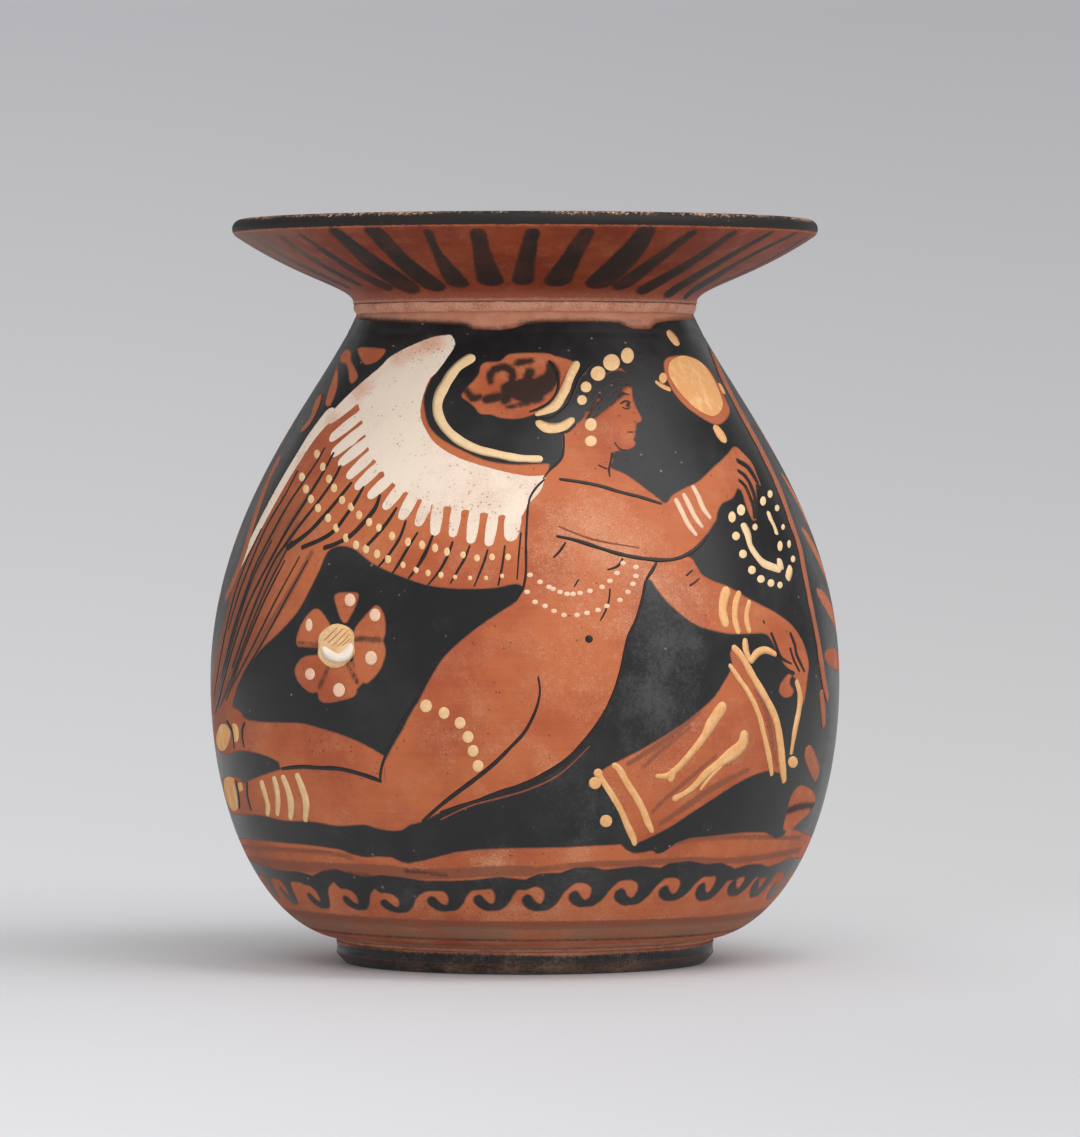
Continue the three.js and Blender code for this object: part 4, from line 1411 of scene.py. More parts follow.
for turn, height, lean, reach, petals in FANS:
    widths = [wide * reach / FAN_REACH * (FAN_WIDTHS[0] + FAN_WIDTHS[1] / petals) for wide in PETAL_WIDTHS]
    for i in range(petals):
        aside = 2 * i / (petals - 1) - 1
        way = math.radians(lean + FAN_SPREAD * aside)
        tip = reach * (1 - PETAL_DROOP * abs(aside))
        ways = [way + PETAL_BEND * aside * share for share in PETAL_SHARES]
        places = [(share * tip * math.sin(way), share * tip * math.cos(way))
                  for share, way in zip(PETAL_SHARES, ways)]
        rounded = softened([(*place, wide) for place, wide in zip(places, widths)], gap=PETAL_GAP)
        line = round_back(turn, height, rounded[:, :2])
        body_skin.add("clay", body_skin.gaps(line, widths=list(rounded[:, 2])))
    fan_heart(turn, height)
for side in (1, -1):
    turn, height = HALF_FAN_HEART
    heart = np.array([math.radians(turn * side), height_to_length(body_skin, height)])
    for tip in body_skin.seen(HALF_FAN_TIPS):
        tip = tip if side > 0 else np.array([math.radians(HALF_FAN_LEFT), tip[1]])
        line = [tip + (heart - tip) * share for share in HALF_FAN_SHARES]
        body_skin.add("clay", body_skin.gaps(line, widths=list(HALF_FAN_WIDTHS)))
    fan_heart(turn * side, height)
stems = drawn(LEFT_STROKES + RIGHT_STROKES)
for stem in SCROLLS:
    flat = np.array([(math.radians(turn), height_to_length(body_skin, height)) for turn, height in stem])
    line = softened(flat * [TURN_TO_MM, 1], gap=SCROLL_GAP) / [TURN_TO_MM, 1]
    stems.append((line, np.full(len(line), SCROLL_WIDTH)))
for turn, height, size, hand in CURLS:
    angles = np.linspace(0, CURL_TURNS * 2 * math.pi, CURL_STEPS)
    radii = size * (1 - CURL_SHRINKS * angles / angles[-1])
    line = round_back(turn, height, np.stack([hand * radii * np.cos(angles), radii * np.sin(angles)], 1))
    stems.append((line, SCROLL_WIDTH * np.linspace(*CURL_WIDTHS, CURL_STEPS)))
stem_clay = paint_finish("stem_clay", STEM_CLAY, STEM_BROWN, STEM_ROUGH)
laid("palmette_stems", stems, [], stem_clay)

# Neck of the body. The black was brushed up to just under the seam and left ragged there, with a
# brown wash along its edge; the slip that was wiped over the seam shows above it, and a groove runs
# round in the black.
BLACK_TOP = 146.3
NECK_BLACK_EDGE = [
    (352, 319), (368, 320), (385, 321), (400, 322), (420, 323), (445, 324), (463, 325), (474, 329),
    (500, 330), (514, 328), (526, 324), (545, 322), (560, 322), (580, 322), (600, 322), (620, 324),
    (634, 329), (650, 329), (656, 323), (668, 321), (680, 320), (698, 318),
]
NECK_BRUSHED = [
    # thin black left by the brush where it let go above the edge
    ([(360, 319), (400, 321), (440, 323), (468, 323)], 3.5),
    ([(520, 322), (560, 322), (600, 323), (640, 321)], 3.5),
    ([(455, 326), (470, 327)], 4),
]
SLIP_ABOVE = 0.7
WASH_RING = (-0.3, 1.2)
# lengths above the groove between which a painted highlight lies
GROOVE_SHEEN = (0.05, 0.55)
FOOT_SLIP_HEIGHT = 1.2
FOOT_SLIP_TOP = 0.9
FOOT_SLIP_WAVES = [(4, 0.5, 0)]
neck_edge = ring_edge(body_skin, NECK_BLACK_EDGE, BLACK_TOP)
body_skin.add("clay", between(body_skin, neck_edge, whole + REACH))
body_skin.add("slip", between(body_skin, neck_edge + SLIP_ABOVE, whole + REACH))
body_skin.add("wash", between(body_skin, neck_edge + WASH_RING[0], neck_edge + WASH_RING[1]))
for places, widths in NECK_BRUSHED:
    body_skin.add("thin", brushed(places, widths))
# painted sheen: a painted highlight just above the groove, where the clay shows
body_skin.add("haze", between(body_skin, groove_length + GROOVE_SHEEN[0], groove_length + GROOVE_SHEEN[1]))
foot_side = height_to_length(body_skin, FOOT_JOINT_HEIGHT + FOOT_SLIP_HEIGHT) - FOOT_SLIP_TOP
body_skin.add("slip", between(body_skin, -REACH, foot_side + waver(body_skin.angle, FOOT_SLIP_WAVES)))

# Body, finish. Black slip with a soft gloss, mottled where it was brushed on thin, with a painted grey
# sheen in places; bare clay with faint wheel lines and small dark grits, rubbed pale in places, painted
# paler as painted light on the chest and the lower bands, darker in places, and with a greyish tan
# painted sheen low down; the added white and yellow are chalky and stand a little proud.
BLACK = (25, 25, 26)
BLACK_GREY = (52, 51, 51)
BLACK_BROWN = (60, 40, 31)
THIN_BLACK = (34, 25, 21)
# grey of the black's rubs and of its painted sheen
BLACK_RUB_AND_SHEEN_GREY = (78, 78, 79)
CLAY = (180, 97, 56)
CLAY_RED = (160, 76, 42)
CLAY_DARK = (132, 68, 38)
CLAY_PALE = (190, 126, 90)
CLAY_CREAM = (212, 160, 124)
WING_TINT = (206, 150, 122)
WASH = (124, 70, 48)
# greyish tan of the painted sheen, also used for the brown specks on the added white
SHEEN_AND_SPECK_TAN = (128, 94, 74)
GRIT = (46, 28, 22)
SLIP_PALE = (202, 152, 128)
EDGE_SOFT = 0.07
RELIEF = 0.00008
# Clouds of the finish: how many to a metre, detail, roughness and stretch
RAGGED_GRAIN = (900, 3, 0.6)
FINE_GRAIN = (3000, 3, 0.65)
BROAD_GRAIN = (38, 4, 0.6)
BLOTCH_GRAIN = (140, 4, 0.65)
WHEEL_GRAIN = (60, 3, 0.6, (0.25, 0.25, 18))
STREAK_GRAIN = (500, 3, 0.6, (1, 1, 0.3))
GRIT_GRAIN = (120, 2, 0.5)
# Spots: how many to a metre, and the radii between which they fade
GRITS = (560, 0.06, 0.15)
CHIPS = (300, 0.05, 0.12)
SPECKS = (900, 0.16, 0.26)
COVERS = {
    # how much of what lies below each layer hides
    "pale": 0.8, "mottled": 0.34, "rubbed_and_lit": 0.6, "darkened": 0.75, "washed": 0.85, "painted_sheen_here": 0.8,
    "thinned": 0.96, "grits": 0.75, "grey": 0.55, "near_edge": 0.5, "chips": 0.45, "black_rub_and_sheen": 0.7,
    "tinted": 0.8, "specks": 0.6,
}
BODY_FIELDS = ("clay", "wash", "thin", "haze", "worn", "white", "yellow", "slip")
WEAR_AND_LIGHT_PLACES = [
    # where the surface is rubbed or painted lighter, or below 0 darker: place in the photograph, reach in
    # mm, and how much
    # the pale places on the torso are partly rubbing and partly painted light falling on the chest
    (600, 520, 11, 0.6), (575, 620, 10, 0.5), (560, 700, 12, 0.4), (460, 730, 10, 0.3), (330, 800, 10, 0.3),
    # (670, 620), (660, 710) and (655, 672) lie on the black and paint in a grey sheen, a painted reflection
    (680, 770, 9, 0.3), (670, 620, 12, 0.9), (660, 710, 12, 0.9), (590, 800, 9, 0.6), (655, 672, 1.6, 1.0),
    # the places below 0, all towards the left side, make the clay darker there
    (440, 620, 7, 0.4), (780, 500, 9, 0.4), (360, 930, 9, 0.3), (250, 570, 14, -0.8), (236, 650, 14, -0.9),
    (216, 710, 10, -0.8), (290, 520, 10, -0.5), (240, 800, 10, -0.4), (260, 860, 9, -0.6),
    # the places along the lower bands paint the clay paler, as painted light bounced up from the table
    (400, 903, 10, 0.5), (480, 903, 10, 0.5), (560, 900, 10, 0.5), (640, 897, 10, 0.5), (720, 890, 9, 0.5),
    (330, 900, 8, 0.6), (500, 860, 7, 0.7), (580, 856, 7, 0.7), (700, 845, 7, 0.5), (420, 872, 7, 0.5),
    (500, 938, 8, 0.8), (580, 938, 8, 0.8), (420, 940, 8, 0.7), (660, 934, 8, 0.7), (350, 840, 8, 0.4),
    (430, 342, 4, 0.9), (398, 360, 4, 0.8), (362, 388, 4, 0.9), (330, 420, 4, 0.8), (300, 462, 4, 0.7),
    (560, 540, 12, 0.5), (640, 560, 10, 0.5), (520, 780, 10, 0.4),
]


def painted_clay(name, fields, cloud=BLACK_RUB_AND_SHEEN_GREY):
    """The finish of the body and the foot: clay, black slip, washes and added colours, by fields."""
    finish = Finish(name, Specular_IOR_Level=SLIP_SPECULAR)
    place = finish.object_place()
    value = {field: finish.field(field) for field in fields}
    ragged = finish.cloud(place, *RAGGED_GRAIN) - 0.5
    fine = finish.cloud(place, *FINE_GRAIN) - 0.5
    broad = finish.cloud(place, *BROAD_GRAIN)
    blotch = finish.cloud(place, *BLOTCH_GRAIN)
    uneven = blotch - 0.5
    wheel = finish.cloud(place, *WHEEL_GRAIN)

    bare = finish.ramp(value["clay"] + ragged * 0.22, -EDGE_SOFT, EDGE_SOFT)
    inner = finish.ramp(value["clay"] + ragged * 0.5, 0.0, 0.45)
    clay = finish.mixed(finish.ramp(broad * 0.85 + wheel * 0.15, 0.38, 0.60), CLAY_RED, CLAY)
    pale = finish.ramp(blotch + fine * 0.9, 0.46, 0.95)
    mottled = finish.ramp(ragged + fine * 0.7 + uneven * 0.4, 0.02, 0.34)
    # paler clay where rubbed, and painted light where the worn field was raised for it
    rubbed_and_lit = finish.ramp(value["worn"] * 0.8 + uneven * 0.8 + fine * 1.6, 0.3, 1.2)
    # darker clay where the worn field is below 0
    darkened = finish.ramp(0 - value["worn"] + uneven * 0.8, 0.1, 0.9)
    clay = finish.layered(clay, [
        (pale * COVERS["pale"], CLAY_PALE), (mottled * COVERS["mottled"], CLAY_DARK),
        (rubbed_and_lit * COVERS["rubbed_and_lit"], CLAY_CREAM), (darkened * COVERS["darkened"], CLAY_DARK)])
    washed = finish.ramp(value["wash"] + ragged * 0.7, -0.35, 0.35) * finish.ramp(blotch, 0.1, 0.45)
    # painted sheen: a painted reflection, greyish tan over the clay
    painted_sheen_here = finish.ramp(value["haze"] + ragged * 0.6, -0.3, 0.5) * finish.ramp(blotch, 0.2, 0.6)
    thinned = finish.ramp(value["thin"] + ragged * 0.9 + uneven * 0.8, -0.6, 0.6)
    grits = finish.spots(place, *GRITS) * finish.ramp(finish.cloud(place, *GRIT_GRAIN), 0.46, 0.58)
    clay = finish.layered(finish.mixed(inner, WASH, clay), [
        (washed * COVERS["washed"], WASH), (painted_sheen_here * COVERS["painted_sheen_here"], SHEEN_AND_SPECK_TAN),
        (thinned * COVERS["thinned"], THIN_BLACK), (grits * COVERS["grits"], GRIT)])

    thin = finish.ramp(broad + blotch * 0.4 + fine * 0.3, 0.62, 0.95)
    near_edge = 1 - finish.ramp(0 - value["clay"] + ragged * 0.3, 0.05, 0.35)
    chips = finish.spots(place, *CHIPS) * finish.ramp(blotch, 0.50, 0.58)
    # the black rubbed to grey, and a painted sheen where the worn field was raised for it
    black_rub_and_sheen = finish.ramp(value["worn"] + uneven * 1.4 + fine * 1.4 + ragged, 0.4, 1.5)
    black = finish.layered(BLACK, [
        (thin * COVERS["grey"], BLACK_GREY), (near_edge * COVERS["near_edge"], BLACK_BROWN),
        (chips * COVERS["chips"], SLIP_PALE), (black_rub_and_sheen * COVERS["black_rub_and_sheen"], cloud)])

    slip = finish.ramp(value["slip"] + ragged * 1.6 + fine * 1.2, -0.6, 0.6) * (0.5 + uneven * 1.2)
    white_rub = finish.ramp(blotch * 0.4 + fine * 0.5 + broad * 0.5, 0.40, 0.80)
    tinted = finish.ramp(value["worn"] + uneven * 1.2 + fine * 0.8, 0.15, 1.1)
    specks = finish.spots(place, *SPECKS) * finish.ramp(blotch, 0.44, 0.56)
    white = finish.layered(WHITE, [
        (white_rub, WHITE_WORN), (tinted * COVERS["tinted"], WING_TINT), (specks * COVERS["specks"], SHEEN_AND_SPECK_TAN)])
    streaks = finish.ramp(finish.cloud(place, *STREAK_GRAIN), 0.45, 0.7)
    yellow = finish.mixed(streaks, MIRROR_OCHRE, MIRROR_PALE)
    white_here = finish.ramp(value["white"] + ragged * 0.25, -EDGE_SOFT, EDGE_SOFT)
    yellow_here = finish.ramp(value["yellow"] + ragged * 0.2, -EDGE_SOFT, EDGE_SOFT)
    surface = finish.layered(black, [
        (bare, clay), (slip, SLIP_PALE), (yellow_here, yellow), (white_here, white)])
    finish.feed("Base Color", surface)
    chalk = white_here.at_least(yellow_here)
    gloss_black = 0.25 + blotch * 0.14 + thin * 0.12 + black_rub_and_sheen * 0.22
    gloss_clay = 0.54 + broad * 0.12
    rough = gloss_black + bare * (gloss_clay - gloss_black)
    finish.feed("Roughness", rough + chalk * (0.78 - rough))
    tooth = fine * 0.16 + ragged * 0.12 + wheel * 0.25 + blotch * 0.35
    finish.bumped(tooth - bare * 0.35 + chalk * 0.9 - grits * 0.6, RELIEF)
    return finish.material


# The worn field: real rubbing, with painted light, a painted sheen and darker places added as listed above
worn = np.zeros(len(body_skin.angle))
for across, down, reach, strength in WEAR_AND_LIGHT_PLACES:
    angle, length = body_skin.seen([(across, down)])[0]
    aside = np.angle(np.exp(1j * (body_skin.angle - angle))) * body_skin.radius
    near = np.exp(-(aside**2 + (body_skin.length - length) ** 2) / reach**2)
    worn += strength * near * body_skin.outer
body_skin.fields["worn"] = np.clip(worn, -1, 1)
body_skin.keep()
body.data.materials.append(painted_clay("painted_body", BODY_FIELDS))
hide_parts("body")
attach(body, "root")

# Mouth. A flared trumpet thrown by itself and set on the neck while the clay was leather hard. Its
# underside carries brush strokes that run out to a black lip; the black is worn off the lip's top.
TOTAL_HEIGHT = 170.0
MOUTH_RADIUS = 67.1
MOUTH_BASE = 150.8
THROAT_RADIUS = 39.2
THROAT_PULL = 3.9
FLARE_PULL = 18.6
FLARE_SLOPE = 0.585
LIP_RADIUS = 2.1
MOUTH_COLUMNS = 364
MOUTH_ROW = 0.8
INSIDE_ROW = 1.2
LIP_STEPS = 14
SEAM_STANDS = 0.3
LIP_BLACK_START = 1.1
LIP_BLACK_END = 2.0
INSIDE_START = 0.8
STROKES = [
    # top, middle and foot of each stroke in front, widths there in photo pixels, how black it came out
    ((301, 235), (350, 268), (382, 285), (4, 6, 8), -0.2),
    ((336, 232), (372, 262), (404, 285), (8, 12, 12), 0.2),
    ((375, 232), (404, 262), (431, 284), (13, 11, 12), 0.2),
    ((428, 232), (438, 254), (457, 282), (11, 10, 16), -0.35),
    ((478, 233), (483, 256), (490, 280), (15, 17, 22), 0.1),
    ((532, 233), (527, 256), (523, 280), (15, 17, 21), 0.1),
    ((586, 233), (571, 258), (558, 280), (13, 15, 18), 0.1),
    ((645, 232), (629, 254), (602, 281), (14, 16, 15), 0.3),
    ((692, 233), (660, 257), (624, 284), (6, 8, 10), 0.1),
    ((732, 234), (690, 263), (647, 288), (5, 7, 9), 0.0),
    ((769, 234), (723, 260), (673, 291), (4, 5, 7), 0.0),
    ((792, 235), (741, 261), (690, 293), (3, 4, 5), -0.1),
]
STROKE_FOOT_ROW = 281
STROKE_TOP_GAP = 2.0
STROKE_LEANS = (-0.03, 0.03)
MIDDLE_LEANS = 0.3
STROKE_GAP = 5
STROKE_TOPS = (3.0, 4.4)
STROKE_FEET = (3.4, 4.4)
STROKE_FOOT_VARIES = (-0.6, 0.8)
STROKE_BLACKS = [-0.2, 0.0, 0.2, 0.3]
TURNED_BUNCHING = 0.4
STROKE_STEP = 2 * math.pi / 33
STROKE_SEED = 3

lip_centre = np.array([MOUTH_RADIUS - LIP_RADIUS, TOTAL_HEIGHT - LIP_RADIUS])
flare_end = lip_centre + LIP_RADIUS * np.array([math.sin(FLARE_SLOPE), -math.cos(FLARE_SLOPE)])
flare_lead = flare_end - FLARE_PULL * np.array([math.cos(FLARE_SLOPE), math.sin(FLARE_SLOPE)])
throat_lead = (THROAT_RADIUS, MOUTH_BASE + THROAT_PULL)
under_curve = cubic((THROAT_RADIUS, MOUTH_BASE), throat_lead, flare_lead, flare_end)
lip_angles = np.linspace(FLARE_SLOPE - math.pi / 2, FLARE_SLOPE + math.pi / 2, LIP_STEPS)[1:-1]
lip_curve = lip_centre + LIP_RADIUS * np.stack([np.cos(lip_angles), np.sin(lip_angles)], 1)
upper_curve_mouth = moved_in(under_curve, WALL)[::-1]
upper_curve_mouth[-1] = (THROAT_RADIUS - WALL, MOUTH_BASE)
under_line = spaced(under_curve, MOUTH_ROW)
mouth_outer = np.concatenate([under_line, lip_curve])
mouth_profile = np.concatenate([mouth_outer, spaced(upper_curve_mouth, INSIDE_ROW)])
mouth = turned("mouth", mouth_profile, MOUTH_COLUMNS, closed=True, bunching=TURNED_BUNCHING)
mouth_skin = Skin(mouth, mouth_profile)
under_length = travelled(mouth_outer)[len(under_line) - 1]
lip_length = travelled(mouth_outer)[-1]

front_turns = []
for *corners, corner_widths, black in STROKES:
    corners = [(*corner, wide) for corner, wide in zip(corners, corner_widths)]
    line, widths = spread_widths(mouth_skin, softened(corners, gap=STROKE_GAP))
    index, inside = mouth_skin.gaps(line, widths=widths)
    mouth_skin.add("stroke", (index, inside + black))
    front_turns.append(line[-1, 0])
stroke_random = random.Random(STROKE_SEED)
back_room = 2 * math.pi - (front_turns[-1] - front_turns[0])
back_count = round(back_room / STROKE_STEP) - 1
stroke_foot = mouth_skin.seen([(AXIS_PIXEL, STROKE_FOOT_ROW)])[0, 1]
for i in range(back_count):
    turn = front_turns[-1] + back_room * (i + 1) / (back_count + 1)
    lean = stroke_random.uniform(*STROKE_LEANS)
    top_wide, bottom_wide = stroke_random.uniform(*STROKE_TOPS), stroke_random.uniform(*STROKE_FEET)
    low = stroke_foot + stroke_random.uniform(*STROKE_FOOT_VARIES)
    start = (turn + lean, under_length - STROKE_TOP_GAP)
    line = [start, (turn + lean * MIDDLE_LEANS, (under_length + low) / 2), (turn, low)]
    widths = [top_wide, (top_wide + bottom_wide) / 2, bottom_wide]
    index, inside = mouth_skin.gaps(line, widths=widths)
    mouth_skin.add("stroke", (index, inside + stroke_random.choice(STROKE_BLACKS)))
index = np.arange(len(mouth_skin.length))
past_start = mouth_skin.length - under_length - LIP_BLACK_START
mouth_skin.add("lip", (index, np.minimum(past_start, lip_length + LIP_BLACK_END - mouth_skin.length)))
mouth_skin.add("inside", (index, mouth_skin.length - lip_length - INSIDE_START))
mouth_skin.keep()

# The slip squeezed out of the seam below stands as an uneven lip at the bottom of the mouth
SEAM_FALLS = 1.4
SEAM_LUMPS = [(9, 1.0, 3.1), (31, 0.6, 8.7)]
FALL_VARIES = (0.8, 0.4)
PUSH_VARIES = (0.75, 0.5)
seam = zip(mouth.data.vertices, mouth_skin.length, mouth_skin.angle, mouth_skin.outer)
for vert, length, angle, outer in seam:
    if not outer or length > SEAM_FALLS:
        continue
    around = Vector((math.sin(angle), math.cos(angle), 0))
    uneven = 0
    for often, size, shift in SEAM_LUMPS:
        uneven += size * noise.noise(around * often + Vector((0, 0, shift)))
    share = max(0.0, 1 - length / (SEAM_FALLS * (FALL_VARIES[0] + FALL_VARIES[1] * uneven)))
    push = SEAM_STANDS * MM * (PUSH_VARIES[0] + PUSH_VARIES[1] * uneven) * share**2
    vert.co.x += push * math.sin(angle)
    vert.co.y -= push * math.cos(angle)

MOUTH_CLAY = (137, 60, 31)
MOUTH_RED = (116, 45, 24)
MOUTH_PALE = (168, 106, 80)
# grey of the painted sheen on the left of the mouth's underside
MOUTH_SHEEN_GREY = (122, 108, 96)
THROAT_RED = (146, 78, 56)
STROKE_BLACK = (42, 35, 33)
LIP_BLACK = (36, 32, 31)
LIP_WORN = (150, 112, 86)
LIP_CREAM = (206, 172, 138)
LIP_LINE = (196, 112, 66)
MOUTH_SPECULAR = 0.25
MOUTH_FINE_GRAIN = (3600, 2, 0.7)
MOUTH_BROAD_GRAIN = (60, 3, 0.6)
MOUTH_BLOTCH_GRAIN = (200, 4, 0.65)
MOUTH_WHEEL_GRAIN = (60, 3, 0.6, (0.3, 0.3, 16))
MOUTH_SPECK_GRAIN = (1500, 3, 0.7)
MOUTH_STREAK_GRAIN = (120, 3, 0.6, (1, 1, 0.35))
# Heights in metres between which the throat's red, the pink at its edge and the lip's wear fade
THROAT_FADE = ((MOUTH_BASE + 0.6) * MM, (MOUTH_BASE + 3.8) * MM)
PINK_FADE = ((MOUTH_BASE + 0.1) * MM, (MOUTH_BASE + 0.9) * MM)
TOP_FADE = ((TOTAL_HEIGHT - 1.6) * MM, (TOTAL_HEIGHT - 0.1) * MM)
# distances in metres left of the axis over which the painted sheen comes in
SHEEN_FADE = (0.048, 0.070)
MOUTH_COVERS = {"pale": 0.7, "spots": 0.6, "throat": 0.8, "pink": 0.5, "line": 0.5, "brown": 0.6}
mouth_finish = Finish("painted_mouth", Specular_IOR_Level=MOUTH_SPECULAR)
ramp = mouth_finish.ramp
place = mouth_finish.object_place()
value = {field: mouth_finish.field(field) for field in ("stroke", "lip", "inside")}
side, height = (mouth_finish.axis(place, axis) for axis in "XZ")
ragged = mouth_finish.cloud(place, *RAGGED_GRAIN) - 0.5
fine = mouth_finish.cloud(place, *MOUTH_FINE_GRAIN) - 0.5
broad = mouth_finish.cloud(place, *MOUTH_BROAD_GRAIN)
blotch = mouth_finish.cloud(place, *MOUTH_BLOTCH_GRAIN)
wheel = mouth_finish.cloud(place, *MOUTH_WHEEL_GRAIN)
speck = mouth_finish.cloud(place, *MOUTH_SPECK_GRAIN)
streaked = mouth_finish.cloud(place, *MOUTH_STREAK_GRAIN)
throat_color = mouth_finish.mixed(ramp(fine, 0.05, 0.25) * MOUTH_COVERS["spots"], THROAT_RED, SLIP_PALE)
throat = 1 - ramp(height + fine * 0.0012, *THROAT_FADE)
pink = 1 - ramp(height + ragged * 0.0010, *PINK_FADE)
stroke = ramp(value["stroke"] + ragged * 0.9 + (blotch - 0.5) * 0.9, -0.35, 0.55)
stroke = stroke * (0.76 + 0.3 * ramp(streaked, 0.2, 0.7))
stroke = mouth_finish.node("ShaderNodeClamp", {}, {"Value": stroke})
# painted sheen: the left side of the mouth's underside greyed and its strokes paled, a painted reflection
haze = ramp(0 - side + blotch * 0.014, *SHEEN_FADE)
line = ramp(value["lip"] + ragged * 0.5, -0.65, -0.2) * ramp(speck + blotch * 0.6, 0.6, 0.9)
lip = ramp(value["lip"] + ragged * 0.45, -0.12, 0.12)
worn = ramp(speck * 0.55 + blotch * 0.35 + broad * 0.3 + ramp(height, *TOP_FADE) * 0.20, 0.73, 0.88)
worn_color = mouth_finish.mixed(ramp(speck, 0.5, 0.7), LIP_WORN, LIP_CREAM)
inner = ramp(value["inside"] + ragged * 0.6, -0.15, 0.15)
brown = ramp(broad * 0.6 + blotch * 0.4, 0.45, 0.75) * MOUTH_COVERS["brown"]
surface = mouth_finish.layered(MOUTH_CLAY, [
    (ramp(broad * 0.7 + wheel * 0.3, 0.38, 0.60), MOUTH_RED),
    (ramp(blotch + fine * 1.4, 0.46, 1.0) * MOUTH_COVERS["pale"], MOUTH_PALE),
    (throat * MOUTH_COVERS["throat"], throat_color),
    (pink * MOUTH_COVERS["pink"], SLIP_PALE),
    (stroke * (1 - haze * 0.6), STROKE_BLACK),
    (haze * (0.55 + ragged * 0.5), MOUTH_SHEEN_GREY),
    (line * MOUTH_COVERS["line"], LIP_LINE),
    (lip, mouth_finish.mixed(worn, LIP_BLACK, worn_color)),
    (inner, mouth_finish.mixed(brown, BLACK, BLACK_BROWN)),
])
mouth_finish.feed("Base Color", surface)
mouth_finish.feed("Roughness", 0.60 - inner * 0.14 + fine * 0.2)
mouth_finish.bumped(fine * 0.25 + ragged * 0.2 + wheel * 0.5 - worn * lip * 0.8, RELIEF)
mouth.data.materials.append(mouth_finish.material)
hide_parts("mouth")
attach(mouth, "root")

# Neck luting. A collar of thick slip that joins the mouth to the body, wiped round with a finger
# but left uneven; it fired pinkish and speckled, and a hairline crack runs where the mouth begins,
# darkened with painted shade under the mouth's edge.
LUTING_BULGE = 0.2
LUTING_COLUMNS = 364
LUTING_ROW = 0.3
LUTING_INNER_ROW = 1.2
LUTING_ROUNDING = 0.2
LUTING_LUMPS = (0.10, 0.12)
LUTING_NOISE = [
    # lumps to a metre, how much flatter than wide, and how strong
    (300, 2, 1.0), (1100, 1, 0.5),
]
luting_middle = (NECK_TOP + MOUTH_BASE) / 2
luting_outer = np.array([
    (NECK_RADIUS, NECK_TOP), ((NECK_RADIUS + THROAT_RADIUS) / 2 + LUTING_BULGE, luting_middle),
    (THROAT_RADIUS, MOUTH_BASE)])
luting_outer = spaced(softened(luting_outer, gap=LUTING_ROUNDING), LUTING_ROW)
luting_inner = np.array([(THROAT_RADIUS - WALL, MOUTH_BASE), (NECK_RADIUS - WALL, NECK_TOP)])
luting_inner = spaced(luting_inner, LUTING_INNER_ROW)
luting_profile = np.concatenate([luting_outer, luting_inner])
neck_luting = turned("neck_luting", luting_profile, LUTING_COLUMNS, closed=True, bunching=TURNED_BUNCHING)
for vert in neck_luting.data.vertices:
    angle = math.atan2(vert.co.x, AXIS_Y - vert.co.y)
    if math.hypot(vert.co.x, vert.co.y - AXIS_Y) / MM < NECK_RADIUS - OUTSIDE_LIMIT:
        continue
    share = math.sin(math.pi * (vert.co.z / MM - NECK_TOP) / (MOUTH_BASE - NECK_TOP))
    lump = 0
    for often, flatter, strong in LUTING_NOISE:
        lump += strong * noise.noise(Vector((vert.co.x, vert.co.y, vert.co.z * flatter)) * often)
    push = (LUTING_LUMPS[0] + LUTING_LUMPS[1] * lump) * MM * share
    vert.co.x += push * math.sin(angle)
    vert.co.y -= push * math.cos(angle)
LUTING_PINK = (196, 136, 108)
LUTING_DARK = (176, 110, 84)
LUTING_LIGHT = (220, 180, 156)
LUTING_SHADE = (104, 58, 44)
LUTING_FINE_GRAIN = (3000, 3, 0.7)
LUTING_BLOTCH_GRAIN = (200, 4, 0.6)
LUTING_RAGGED_GRAIN = (160, 4, 0.7)
LUTING_COVERS = {"light": 0.7, "crack_and_shade": 0.75}
LUTING_RELIEF = 0.00012
CRACK_AND_SHADE_FADE = ((MOUTH_BASE - 0.4) * MM, (MOUTH_BASE - 0.05) * MM)
luting_finish = Finish("wiped_slip")
place = luting_finish.object_place()
fine = luting_finish.cloud(place, *LUTING_FINE_GRAIN)
blotch = luting_finish.cloud(place, *LUTING_BLOTCH_GRAIN)
ragged = luting_finish.cloud(place, *LUTING_RAGGED_GRAIN) - 0.5
# the crack at the top of the collar, darkened as painted shade under the mouth's edge
crack_and_shade = luting_finish.ramp(luting_finish.axis(place, "Z") + ragged * 0.0016, *CRACK_AND_SHADE_FADE)
luting_finish.feed("Base Color", luting_finish.layered(LUTING_DARK, [
    (luting_finish.ramp(blotch, 0.32, 0.56), LUTING_PINK),
    (luting_finish.ramp(fine, 0.50, 0.66) * LUTING_COVERS["light"], LUTING_LIGHT),
    (crack_and_shade * LUTING_COVERS["crack_and_shade"], LUTING_SHADE),
]))
luting_finish.feed("Roughness", 0.6 + fine * 0.25)
luting_finish.bumped(fine + blotch - crack_and_shade * 1.5, LUTING_RELIEF)
neck_luting.data.materials.append(luting_finish.material)
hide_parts("neck_luting")
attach(neck_luting, "root")

# Foot. A low ring thrown by itself, bevelled under its edge, brushed with black round the outside
# and left bare underneath, where it stands. The black is worn browner below the edge, and painted
# paler in front as a painted sheen.
FOOT_HEIGHT = 5.1
FOOT_RADIUS = 43.3
FOOT_ARRIS = 2.3
FOOT_BEVEL = 1.8
FOOT_WAIST = 0.2
FOOT_RING = 9.0
